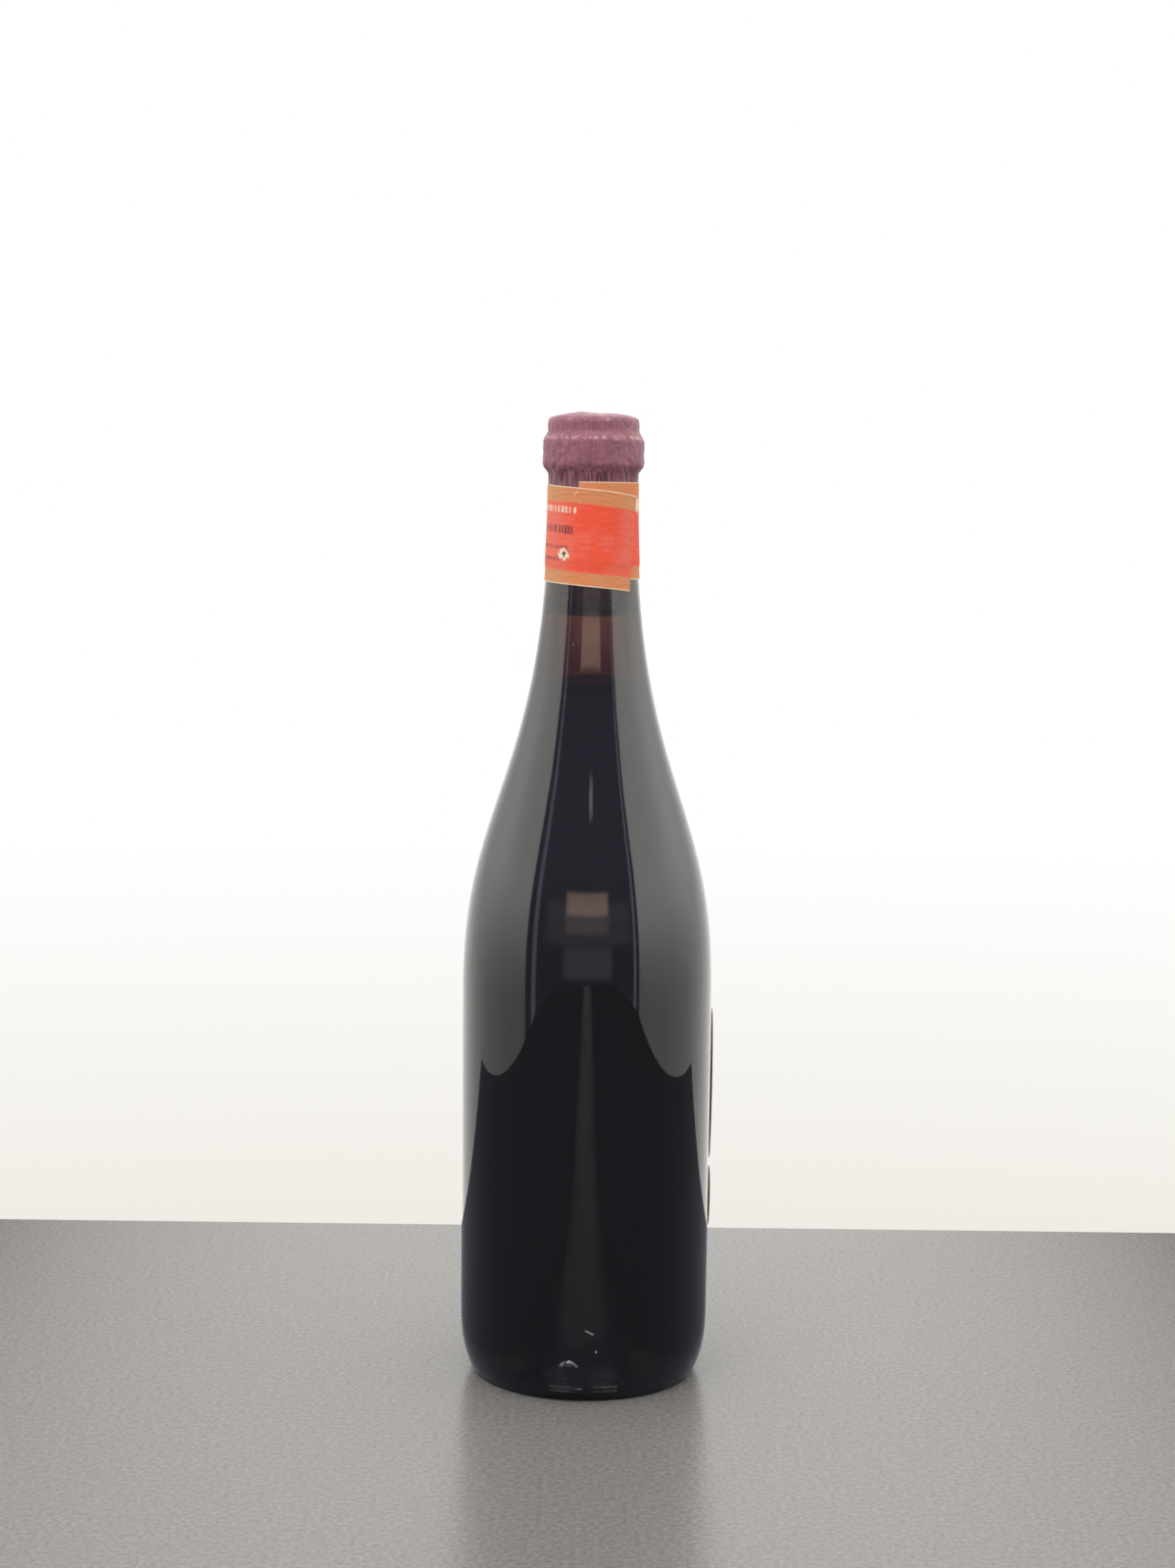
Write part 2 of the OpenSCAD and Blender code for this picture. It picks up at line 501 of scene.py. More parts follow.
class TurnedForm:
    """Turns an outline about the Z axis with Geometry Nodes and adds a relief to it."""

    def __init__(self, name: str, material: bpy.types.Material, relief: Relief | None = None) -> None:
        """Build the tree.

        Args:
            name: the tree's name.
            material: the finish that the surface gets.
            relief: adds nodes that give the height of the surface over its outline, in metres.
        """
        tree, given = start_tree(name, {"Outline": "Geometry", "Columns": "Int", "Centre": "Float",
                                        "Crowding": "Float"}, "Surface")
        rings = add_node(tree, "GeometryNodeAttributeDomainSize", {"component": "MESH"},
                         {"Geometry": given.outputs["Outline"]})
        grid = add_node(tree, "GeometryNodeMeshGrid", None, {
            "Size X": 1.0, "Size Y": 1.0, "Vertices X": given.outputs["Columns"], "Vertices Y": rings})
        place = add_node(tree, SPLIT, None, {0: add_node(tree, "GeometryNodeInputPosition")})
        # The columns stand closer together round the centre angle
        turn = add_node(tree, MATH, MULTIPLY, {0: place.outputs["X"], 1: math.tau})
        swing = add_node(tree, MATH, SINE, {0: turn})
        pull = add_node(tree, MATH, MULTIPLY, {0: swing, 1: given.outputs["Crowding"]})
        eased = add_node(tree, MATH, SUBTRACT, {0: turn, 1: pull})
        angle = add_node(tree, MATH, ADD, {0: eased, 1: given.outputs["Centre"]})
        last = add_node(tree, MATH, SUBTRACT, {0: rings, 1: 1.0})
        up = add_node(tree, MATH, ADD, {0: place.outputs["Y"], 1: 0.5})
        exact = add_node(tree, MATH, MULTIPLY, {0: up, 1: last})
        ring = add_node(tree, MATH, {"operation": "ROUND"}, {0: exact})
        found = []
        for step in (0.0, -1.0, 1.0):
            index = add_node(tree, MATH, ADD, {0: ring, 1: step})
            found.append(add_node(
                tree, "GeometryNodeSampleIndex",
                {"data_type": "FLOAT_VECTOR", "domain": "POINT", "clamp": True},
                {"Geometry": given.outputs["Outline"], "Value": add_node(tree, "GeometryNodeInputPosition"),
                 "Index": index}))
        point = add_node(tree, SPLIT, None, {0: found[0]})
        way = add_node(tree, VECTOR, SUBTRACT, {0: found[2], 1: found[1]})
        # The way without its share of relief, made one long
        flat = add_node(tree, VECTOR, MULTIPLY, {0: way, 1: (1.0, 0.0, 1.0)})
        along = add_node(tree, SPLIT, None, {
            0: add_node(tree, VECTOR, {"operation": "NORMALIZE"}, {0: flat})})
        cosine = add_node(tree, MATH, {"operation": "COSINE"}, {0: angle})
        sine = add_node(tree, MATH, SINE, {0: angle})
        radius, height = point.outputs["X"], point.outputs["Z"]
        if relief:
            rise = relief(tree, {"angle": angle, "cosine": cosine, "sine": sine, "radius": radius,
                                 "height": height})
            rise = add_node(tree, MATH, MULTIPLY, {0: rise, 1: point.outputs["Y"]})
            radius = add_node(tree, MATH, MULTIPLY_ADD, {0: along.outputs["Z"], 1: rise, 2: radius})
            fall = add_node(tree, MATH, MULTIPLY, {0: along.outputs["X"], 1: rise})
            height = add_node(tree, MATH, SUBTRACT, {0: height, 1: fall})
        at = round_axis(tree, radius, cosine, sine, height)
        formed = add_node(tree, "GeometryNodeSetPosition", None, {"Geometry": grid, "Position": at})
        closed = add_node(tree, "GeometryNodeMergeByDistance", None, {"Geometry": formed, "Distance": 1e-6})
        soft = add_node(tree, "GeometryNodeSetShadeSmooth", None, {"Geometry": closed})
        real = add_node(tree, "GeometryNodeRealizeInstances", None, {"Geometry": soft})
        dressed = add_node(tree, "GeometryNodeSetMaterial", None, {"Geometry": real, "Material": material})
        add_node(tree, "NodeGroupOutput", None, {"Surface": dressed})
        self.tree = tree

    def make(self, name: str, points: Outline, columns: int, centre: float = 0.0,
             crowding: float = 0.0) -> bpy.types.Object:
        """Make a piece from an outline.

        Args:
            name: the piece's name.
            points: radius, share of the relief and height of each point, in millimetres.
            columns: how many columns of faces go round it.
            centre: the angle in degrees round which the columns crowd together.
            crowding: how much they do so, from 0 to under 1.

        Returns:
            The piece, with its place in its mesh.
        """
        mesh = bpy.data.meshes.new(f"{name}_outline")
        edges = [(i, i + 1) for i in range(len(points) - 1)]
        mesh.from_pydata([(r * MM, share, z * MM) for r, share, z in points], edges, [])
        return grown(name, mesh, self.tree, {"Columns": columns + 1, "Centre": math.radians(centre),
                                            "Crowding": crowding})


def grown(name: str, base: bpy.types.Mesh, tree: bpy.types.NodeTree,
          values: dict[str, Any]) -> bpy.types.Object:
    """Run a Geometry Nodes tree on a mesh and keep what it makes.

    Args:
        name: the new piece's name.
        base: the mesh that the tree starts from.
        tree: the tree.
        values: a value for each of the tree's named inputs.

    Returns:
        The piece as a plain mesh without modifiers.
    """
    carrier = in_scene(f"{name}_start", base)
    modifier = carrier.modifiers.new("Grown", "NODES")
    modifier.node_group = tree
    identifiers = {i.name: i.identifier for i in tree.interface.items_tree if i.in_out == "INPUT"}
    for key, value in values.items():
        modifier[identifiers[key]] = value
    graph = bpy.context.evaluated_depsgraph_get()
    mesh = bpy.data.meshes.new_from_object(carrier.evaluated_get(graph), preserve_all_data_layers=True,
                                           depsgraph=graph)
    carrier.modifiers.remove(modifier)
    bpy.data.objects.remove(carrier)
    mesh.name = name
    return in_scene(name, mesh)


def sheet(name: str, columns: int, rows: int,
          place: Callable[[float, float, bool], tuple[float, float, float]],
          chart: Callable[[float, float], Point], material: bpy.types.Material) -> bpy.types.Object:
    """Make a thin closed sheet of paper that follows a rule.

    Args:
        name: the piece's name.
        columns: faces along the sheet.
        rows: faces up the sheet.
        place: gives a point in millimetres for a share along, a share up and the outer or inner side.
        chart: gives the sheet's own two coordinates in millimetres for a share along and a share up.
        material: the sheet's finish.

    Returns:
        The piece, with its own coordinates in a UV map, in metres.
    """
    across, up = columns + 1, rows + 1
    shares = [(i / columns, j / rows) for i in range(across) for j in range(up)]
    points = [place(s, t, outer) for outer in (True, False) for s, t in shares]
    back = across * up
    faces = []
    for i in range(columns):
        for j in range(rows):
            a, b, c, d = i * up + j, (i + 1) * up + j, (i + 1) * up + j + 1, i * up + j + 1
            faces += [(a, b, c, d), (a + back, d + back, c + back, b + back)]
    for i in range(columns):
        low, high = i * up, i * up + rows
        faces.append((low + up, low, low + back, low + up + back))
        faces.append((high, high + up, high + up + back, high + back))
    for j in range(rows):
        left, right = j, columns * up + j
        faces.append((left, left + 1, left + 1 + back, left + back))
        faces.append((right + 1, right, right + back, right + 1 + back))
    mesh = bpy.data.meshes.new(name)
    mesh.from_pydata([tuple(v * MM for v in p) for p in points], [], faces)
    flat = mesh.uv_layers.new(name="UVMap")
    for corner, loop in zip(flat.data, mesh.loops):
        u, v = chart(*shares[loop.vertex_index % back])
        corner.uv = (u * MM, v * MM)
    mesh.materials.append(material)
    mesh.shade_smooth()
    mesh.set_sharp_from_angle(angle=math.radians(50))
    return in_scene(name, mesh)


def fit(piece: bpy.types.Object, slot: Slot, *nodes: str) -> bpy.types.Object:
    """Let a piece ride on the bottle and let it stand for the CAD nodes it replaces.

    Args:
        piece: the piece.
        slot: not used.
        nodes: the CAD nodes that it replaces.

    Returns:
        The same piece.
    """
    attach(piece, "root")
    if nodes:
        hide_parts(*nodes)
    piece.data.update()
    log.info("%s: %d faces%s", piece.name, len(piece.data.polygons),
             f", stands for {', '.join(nodes)}" if nodes else "")
    return piece


# ---------------------------------------------------------------- finishes


@dataclass(frozen=True)
class Finish:
    """What every finish shares: its name and an empty material with a Principled shader."""

    name: str

    def start(self, **values: Any) -> tuple[bpy.types.Material, bpy.types.NodeTree, bpy.types.Node]:
        """Start the material.

        Args:
            values: the shader's values, by the names of its inputs with _ for a space.

        Returns:
            The material, its tree and its shader.
        """
        material = bpy.data.materials.new(self.name)
        material.use_nodes = True
        tree = material.node_tree
        shader = tree.nodes["Principled BSDF"]
        for key, value in values.items():
            shader.inputs[key.replace("_", " ")].default_value = value
        return material, tree, shader


@dataclass(frozen=True)
class BrownBottleGlass(Finish):
    """Soda-lime bottle glass, melted dark brown and blown in a two-part mould.

    It is clear and hard with a mirror-like skin, tinted so that white behind it goes deep brown. The
    skin has the long shallow waves of a blown wall, and a fine raised line where the mould halves met.
    """

    name: str = "brown_bottle_glass_blown"
    clear_tint: tuple[float, float, float] = (0.424, 0.15, 0.02)
    depth: float = 420.0
    ior: float = 1.52
    wave_length: float = 9.0
    wave_depth: float = 0.012
    seam_w: float = 0.45
    seam_proud: float = 0.06
    seam_angle: float = -6.5

    def build(self) -> bpy.types.Material:
        """Build the finish.

        Returns:
            Its material.
        """
        material, tree, shader = self.start(IOR=self.ior, Roughness=0.015, Transmission_Weight=1.0,
                                            Base_Color=(1.0, 1.0, 1.0, 1.0))
        brown = add_node(tree, "ShaderNodeVolumeAbsorption", None, {"Color": (*self.clear_tint, 1.0),
                                                                    "Density": self.depth})
        tree.links.new(brown.outputs[0], tree.nodes["Material Output"].inputs["Volume"])
        place = add_node(tree, COORDINATES).outputs["Object"]
        stretched = add_node(tree, MAPPING, None, {0: place, "Scale": (1.0, 1.0, 0.35)})
        waves = add_node(tree, NOISE, None, {"Vector": stretched, "Scale": 1 / (self.wave_length * MM),
                                             "Detail": 2.0, "Roughness": 0.45})
        high = add_node(tree, MATH, MULTIPLY, {0: waves, 1: self.wave_depth * MM})
        # Distance from the plane through the axis in which the mould halves met
        turn = math.radians(self.seam_angle)
        across = add_node(tree, VECTOR, {"operation": "DOT_PRODUCT"},
                          {0: place, 1: (-math.sin(turn), math.cos(turn), 0.0)}).outputs["Value"]
        near = add_node(tree, MATH, ABSOLUTE, {0: across})
        ridge = add_node(tree, RANGE, EASED, {0: near, 1: 0.0, 2: self.seam_w * MM,
                                              3: self.seam_proud * MM, 4: 0.0})
        total = add_node(tree, MATH, ADD, {0: high, 1: ridge})
        bump = add_node(tree, BUMP, None, {"Strength": 1.0, "Distance": 1.0, "Height": total})
        tree.links.new(bump.outputs[0], shader.inputs["Normal"])
        return material


@dataclass(frozen=True)
class RedWine(Finish):
    """Old red wine, so deep in a bottle that it looks black, with a garnet rim where it thins out."""

    name: str = "red_wine_liquid"
    deep: str = "#0c070b"
    rim: str = "#2a0d10"
    level: float = 222.0

    def build(self) -> bpy.types.Material:
        """Build the finish.

        Returns:
            Its material.
        """
        material, tree, shader = self.start(IOR=1.34, Roughness=0.08, Specular_IOR_Level=0.08)
        place = add_node(tree, SPLIT, None, {0: add_node(tree, COORDINATES).outputs["Object"]})
        near = add_node(tree, RANGE, EASED, {0: place.outputs["Z"], 1: (self.level - 1.6) * MM,
                                             2: (self.level + 0.4) * MM, 3: 0.0, 4: 1.0})
        colour = add_node(tree, BLEND, COLOUR, {0: near, 6: linear(self.deep), 7: linear(self.rim)})
        tree.links.new(colour.outputs[2], shader.inputs["Base Color"])
        return material


@dataclass(frozen=True)
class CorkBark(Finish):
    """Natural cork, punched from oak bark: matt, pitted with dark pores and soaked by wine at its end."""

    name: str = "natural_cork_punched"
    bark: str = "#b08a62"
    pale: str = "#c9a67c"
    pore: str = "#4a3022"
    soaked: str = "#2a1318"
    pore_w: float = 1.3
    grain_w: float = 0.8
    ragged_w: float = 4.0
    soaked_from: float = 252.0
    soaked_to: float = 246.0

    def build(self) -> bpy.types.Material:
        """Build the finish.

        Returns:
            Its material.
        """
        material, tree, shader = self.start(Roughness=0.85, Specular_IOR_Level=0.3)
        place = add_node(tree, COORDINATES).outputs["Object"]
        grain = add_node(tree, NOISE, None, {"Vector": place, "Scale": 1 / (self.grain_w * MM), "Detail": 5.0,
                                             "Roughness": 0.6})
        # Pores run across the cork, so they are longer round it than up it
        long = add_node(tree, MAPPING, None, {0: place, "Scale": (0.6, 0.6, 2.2)})
        pores = add_node(tree, "ShaderNodeTexVoronoi", None, {"Vector": long,
                                                              "Scale": 1 / (self.pore_w * MM)})
        pits = add_node(tree, RANGE, EASED, {0: pores, 1: 0.12, 2: 0.3, 3: 1.0, 4: 0.0})
        colour = add_node(tree, BLEND, COLOUR, {0: grain, 6: linear(self.bark), 7: linear(self.pale)})
        colour = add_node(tree, BLEND, COLOUR, {0: pits, 6: colour.outputs[2], 7: linear(self.pore)})
        height = add_node(tree, SPLIT, None, {0: place}).outputs["Z"]
        ragged = add_node(tree, NOISE, None, {"Vector": place, "Scale": 1 / (self.ragged_w * MM),
                                              "Detail": 4.0})
        edge = add_node(tree, MATH, MULTIPLY_ADD, {0: ragged, 1: 0.012, 2: height})
        wet = add_node(tree, RANGE, EASED, {0: edge, 1: (self.soaked_to + 6) * MM,
                                            2: (self.soaked_from + 6) * MM, 3: 1.0, 4: 0.0})
        colour = add_node(tree, BLEND, COLOUR, {0: wet, 6: colour.outputs[2], 7: linear(self.soaked)})
        tree.links.new(colour.outputs[2], shader.inputs["Base Color"])
        sunk = add_node(tree, MATH, MULTIPLY, {0: pits, 1: -0.15 * MM})
        bump = add_node(tree, BUMP, None, {"Strength": 0.8, "Distance": 1.0, "Height": sunk})
        tree.links.new(bump.outputs[0], shader.inputs["Normal"])
        return material


@dataclass(frozen=True)
class PaintedFoil(Finish):
    """Soft tin-lead foil, painted dull mauve and pressed on to the neck by rollers.

    The paint is matt with a faint sheen. It has rubbed to a paler pink on the corners and the tops of the
    creases; below the ring the creases are darkened with painted shade.
    """

    name: str = "painted_capsule_foil_rolled"
    paint: str = "#9b626d"
    aged: str = "#7b4c58"
    # Painted shade in the creases under the ring
    crease_shade: str = "#56333f"
    rubbed: str = "#c39a9d"
    fleck: str = "#e9d2cf"
    nick: str = "#2c1a24"
    nick_az: float = -49.0
    nick_z: float = 304.3
    nick_r: float = 14.35
    nick_turn: float = 1.6
    nick_fall: float = 0.42
    step_z: float = 299.3
    rim_z: float = 304.6
    neck_z: float = 288.0
    cloud_w: float = 6.0
    line_w: float = 0.55
    patch_w: float = 1.6
    grain_w: float = 0.35

    def build(self) -> bpy.types.Material:
        """Build the finish.

        Returns:
            Its material.
        """
        material, tree, shader = self.start(Specular_IOR_Level=0.35)
        place = add_node(tree, COORDINATES).outputs["Object"]
        height = add_node(tree, SPLIT, None, {0: place}).outputs["Z"]
        cloud = add_node(tree, NOISE, None, {"Vector": place, "Scale": 1 / (self.cloud_w * MM), "Detail": 6.0,
                                             "Roughness": 0.65})
        old = add_node(tree, RANGE, EASED, {0: cloud, 1: 0.35, 2: 0.7, 3: 0.0, 4: 0.6})
        colour = add_node(tree, BLEND, COLOUR, {0: old, 6: linear(self.paint), 7: linear(self.aged)})
        # Rollers drew the foil into fine upright lines, and under the ring these lines are darkened as
        # painted shade in the creases
        drawn = add_node(tree, MAPPING, None, {0: place, "Scale": (1.0, 1.0, 0.06)})
        lines = add_node(tree, NOISE, None, {"Vector": drawn, "Scale": 1 / (self.line_w * MM), "Detail": 3.0,
                                             "Roughness": 0.6})
        below = add_node(tree, RANGE, EASED, {0: height, 1: (self.neck_z - 1) * MM,
                                              2: (self.neck_z + 3.5) * MM, 3: 1.0, 4: 0.3})
        dark = add_node(tree, RANGE, EASED, {0: lines, 1: 0.4, 2: 0.6, 3: 0.0, 4: 1.0})
        dark = add_node(tree, MATH, MULTIPLY, {0: dark, 1: below})
        colour = add_node(tree, BLEND, COLOUR, {0: dark, 6: colour.outputs[2], 7: linear(self.crease_shade)})
        # Rubbed paint on the corners of the ring and the rim
        patchy = add_node(tree, NOISE, None, {"Vector": place, "Scale": 1 / (self.patch_w * MM),
                                              "Detail": 5.0, "Roughness": 0.7})
        for level, reach, least, code in (
                (self.step_z, 1.1, 0.47, self.rubbed), (self.rim_z, 0.6, 0.56, self.rubbed),
                (self.step_z, 0.8, 0.62, self.fleck), (self.rim_z, 0.9, 0.58, self.fleck)):
            close = stripe(tree, EASED, height, level * MM, (0.0, reach * MM, 1.0, 0.0))
            worn = add_node(tree, RANGE, EASED, {0: patchy, 1: least, 2: least + 0.12, 3: 0.0, 4: 0.9})
            mask = add_node(tree, MATH, MULTIPLY, {0: close, 1: worn})
            colour = add_node(tree, BLEND, COLOUR, {0: mask, 6: colour.outputs[2], 7: linear(code)})
        # A short slanting nick near the rim shows the dark foil under the paint
        for step in range(5):
            turn = math.radians(self.nick_az + self.nick_turn * step)
            middle = (self.nick_r * math.cos(turn) * MM, self.nick_r * math.sin(turn) * MM,
                      (self.nick_z - self.nick_fall * step) * MM)
            gap = add_node(tree, VECTOR, DISTANCE, {0: place, 1: middle})
            mask = add_node(tree, RANGE, EASED, {0: gap.outputs["Value"], 1: 0.3 * MM, 2: 0.62 * MM,
                                                 3: 0.9, 4: 0.0})
            colour = add_node(tree, BLEND, COLOUR, {0: mask, 6: colour.outputs[2], 7: linear(self.nick)})
        tree.links.new(colour.outputs[2], shader.inputs["Base Color"])
        rough = add_node(tree, RANGE, None, {0: cloud, 1: 0.3, 2: 0.7, 3: 0.42, 4: 0.62})
        tree.links.new(rough.outputs[0], shader.inputs["Roughness"])
        scratch = add_node(tree, MATH, MULTIPLY, {0: lines, 1: 0.09 * MM})
        grain = add_node(tree, NOISE, None, {"Vector": place, "Scale": 1 / (self.grain_w * MM),
                                             "Detail": 2.0})
        fine = add_node(tree, MATH, MULTIPLY_ADD, {0: grain, 1: 0.03 * MM, 2: scratch})
        bump = add_node(tree, BUMP, None, {"Strength": 0.9, "Distance": 1.0, "Height": fine})
        tree.links.new(bump.outputs[0], shader.inputs["Normal"])
        return material


@dataclass(frozen=True)
class PrintedBandPaper(Finish):
    """Thin uncoated tax-strip paper, printed red over tan and faded by light.

    It is matt and fibrous, a little cockled by the glue, with plain bars for its small print.
    """

    name: str = "printed_band_paper_glued"
    width: float = 30.2
    red: str = "#f4583f"
    red_old: str = "#ea7a66"
    tan: str = "#dc8858"
    tan_old: str = "#d2976b"
    # Pale paper, for bare spots and pale print, also painting the highlights on the crease and the edges
    bare_paper_and_highlight: str = "#f6e6c8"
    ink: str = "#4a2a38"
    hole: str = "#2d2220"
    top_stripe: float = 4.8
    foot_stripe: float = 4.3
    bleed: float = 0.25
    hole_at: Point = (85.0, 9.3)
    worn_at: Point = (23.0, 23.2)
    faded_at: float = 76.0
    end_from: float = 101.0
    # Where the painted highlight on the crease lies
    crease_highlight_at: Point = (89.0, 28.4)

    def build(self) -> bpy.types.Material:
        """Build the finish.

        Returns:
            Its material.
        """
        material, tree, shader = self.start(Roughness=0.72, Specular_IOR_Level=0.3)
        chart = add_node(tree, "ShaderNodeUVMap", {"uv_map": "UVMap"})
        large = add_node(tree, MAPPING, None, {0: chart, "Scale": (1 / MM, 1 / MM, 1 / MM)})
        along, up = (add_node(tree, SPLIT, None, {0: large}).outputs[i] for i in (0, 1))
        fibre = add_node(tree, NOISE, None, {"Vector": large, "Scale": 3.2, "Detail": 4.0, "Roughness": 0.6})
        cloud = add_node(tree, NOISE, None, {"Vector": large, "Scale": 0.12, "Detail": 3.0, "Roughness": 0.5})
        fade = add_node(tree, RANGE, EASED, {0: cloud, 1: 0.42, 2: 0.75, 3: 0.0, 4: 0.7})
        # The strip has faded most where it faced the light, left of the front
        lit = stripe(tree, EASED, along, self.faded_at, (4.0, 16.0, 0.85, 0.0))
        end = add_node(tree, RANGE, EASED, {0: along, 1: self.end_from, 2: self.end_from + 5, 3: 0.0, 4: 0.6})
        for part in (lit, end):
            fade = add_node(tree, MATH, MAXIMUM, {0: fade, 1: part})
        red = add_node(tree, BLEND, COLOUR, {0: fade, 6: linear(self.red), 7: linear(self.red_old)})
        tan = add_node(tree, BLEND, COLOUR, {0: fade, 6: linear(self.tan), 7: linear(self.tan_old)})
        # The red field's edges are a little unsharp, as printed on soft paper
        shaky = add_node(tree, MATH, MULTIPLY_ADD, {0: fibre, 1: 0.3, 2: up})
        over = add_node(tree, RANGE, None, {0: shaky, 1: self.foot_stripe, 2: self.foot_stripe + self.bleed,
                                            3: 0.0, 4: 1.0})
        top = self.width - self.top_stripe
        under = add_node(tree, RANGE, None, {0: shaky, 1: top, 2: top + self.bleed, 3: 1.0, 4: 0.0})
        inside = add_node(tree, MATH, MULTIPLY, {0: over, 1: under})
        colour = add_node(tree, BLEND, COLOUR, {0: inside, 6: tan.outputs[2], 7: red.outputs[2]}).outputs[2]
        # Rows of plain bars stand for small print: height, half height, bar pitch, first, last and ink
        for row, half, pitch, first, last, code in ((23.1, 0.95, 1.55, 40.0, 89.2, self.bare_paper_and_highlight),
                                                    (16.9, 1.25, 1.15, 62.0, 88.6, self.ink),
                                                    (11.4, 0.55, 0.8, 58.0, 86.5, self.ink),
                                                    (7.6, 0.55, 0.9, 58.0, 83.4, self.ink)):
            bar = uneven_bars(tree, along, pitch, 0.25, 0.8)
            inrow = stripe(tree, None, up, row, (half - 0.1, half + 0.1, 1.0, 0.0))
            start = add_node(tree, MATH, GREATER_THAN, {0: along, 1: first})
            end = add_node(tree, MATH, LESS_THAN, {0: along, 1: last})
            mask = add_node(tree, RANGE, None, {0: fibre, 1: 0.35, 2: 0.65, 3: 1.0, 4: 0.6})
            for part in (bar, inrow, start, end):
                mask = add_node(tree, MATH, MULTIPLY, {0: mask, 1: part})
            colour = add_node(tree, BLEND, COLOUR, {0: mask, 6: colour, 7: linear(code)}).outputs[2]
        # Torn spots: a bare rim and, where the paper is gone, a dark heart
        rough = add_node(tree, NOISE, None, {"Vector": large, "Scale": 0.8, "Detail": 5.0, "Roughness": 0.7})
        for spot, reach, code in ((self.hole_at, 1.75, self.bare_paper_and_highlight), (self.hole_at, 0.62, self.hole),
                                  (self.worn_at, 2.1, self.bare_paper_and_highlight)):
            gap = add_node(tree, VECTOR, DISTANCE, {0: large, 1: (spot[0], spot[1], 0.0)}).outputs["Value"]
            torn = add_node(tree, MATH, MULTIPLY_ADD, {0: rough, 1: 4.4, 2: gap})
            mask = add_node(tree, RANGE, None, {0: torn, 1: reach + 2.1, 2: reach + 2.4, 3: 0.95, 4: 0.0})
            colour = add_node(tree, BLEND, COLOUR, {0: mask, 6: colour, 7: linear(code)}).outputs[2]
        # A short painted highlight on the crease where the outer turn folds over the strip's start
        crease_highlight = add_node(tree, VECTOR, SUBTRACT, {0: large, 1: (self.crease_highlight_at[0], self.crease_highlight_at[1], 0.0)})
        crease_highlight = add_node(tree, "ShaderNodeVectorRotate", {"rotation_type": "Z_AXIS"},
                        {"Vector": crease_highlight, "Angle": math.radians(-48)})
        crease_highlight = add_node(tree, VECTOR, MULTIPLY, {0: crease_highlight, 1: (0.7, 6.0, 0.0)})
        crease_highlight = add_node(tree, VECTOR, {"operation": "LENGTH"}, {0: crease_highlight}).outputs["Value"]
        crease_highlight = add_node(tree, RANGE, EASED, {0: crease_highlight, 1: 0.5, 2: 1.2, 3: 0.7, 4: 0.0})
        colour = add_node(tree, BLEND, COLOUR, {0: crease_highlight, 6: colour, 7: linear(self.bare_paper_and_highlight)}).outputs[2]
        # Painted highlights: pale lines along both edges, where the cut edges catch the light and show the
        # paper's pale core
        half = self.width / 2
        edge = stripe(tree, None, up, half, (half - 0.45, half - 0.15, 0.0, 0.75))
        colour = add_node(tree, BLEND, COLOUR, {0: edge, 6: colour, 7: linear(self.bare_paper_and_highlight)}).outputs[2]
        tree.links.new(colour, shader.inputs["Base Color"])
        cockle = add_node(tree, MAPPING, None, {0: large, "Scale": (0.35, 1.0, 1.0)})
        folds = add_node(tree, NOISE, None, {"Vector": cockle, "Scale": 0.55, "Detail": 4.0,
                                             "Distortion": 0.8})
        high = add_node(tree, MATH, MULTIPLY, {0: folds, 1: 0.55 * MM})
        high = add_node(tree, MATH, MULTIPLY_ADD, {0: fibre, 1: 0.05 * MM, 2: high})
        bump = add_node(tree, BUMP, None, {"Strength": 0.9, "Distance": 1.0, "Height": high})
        tree.links.new(bump.outputs[0], shader.inputs["Normal"])
        return material


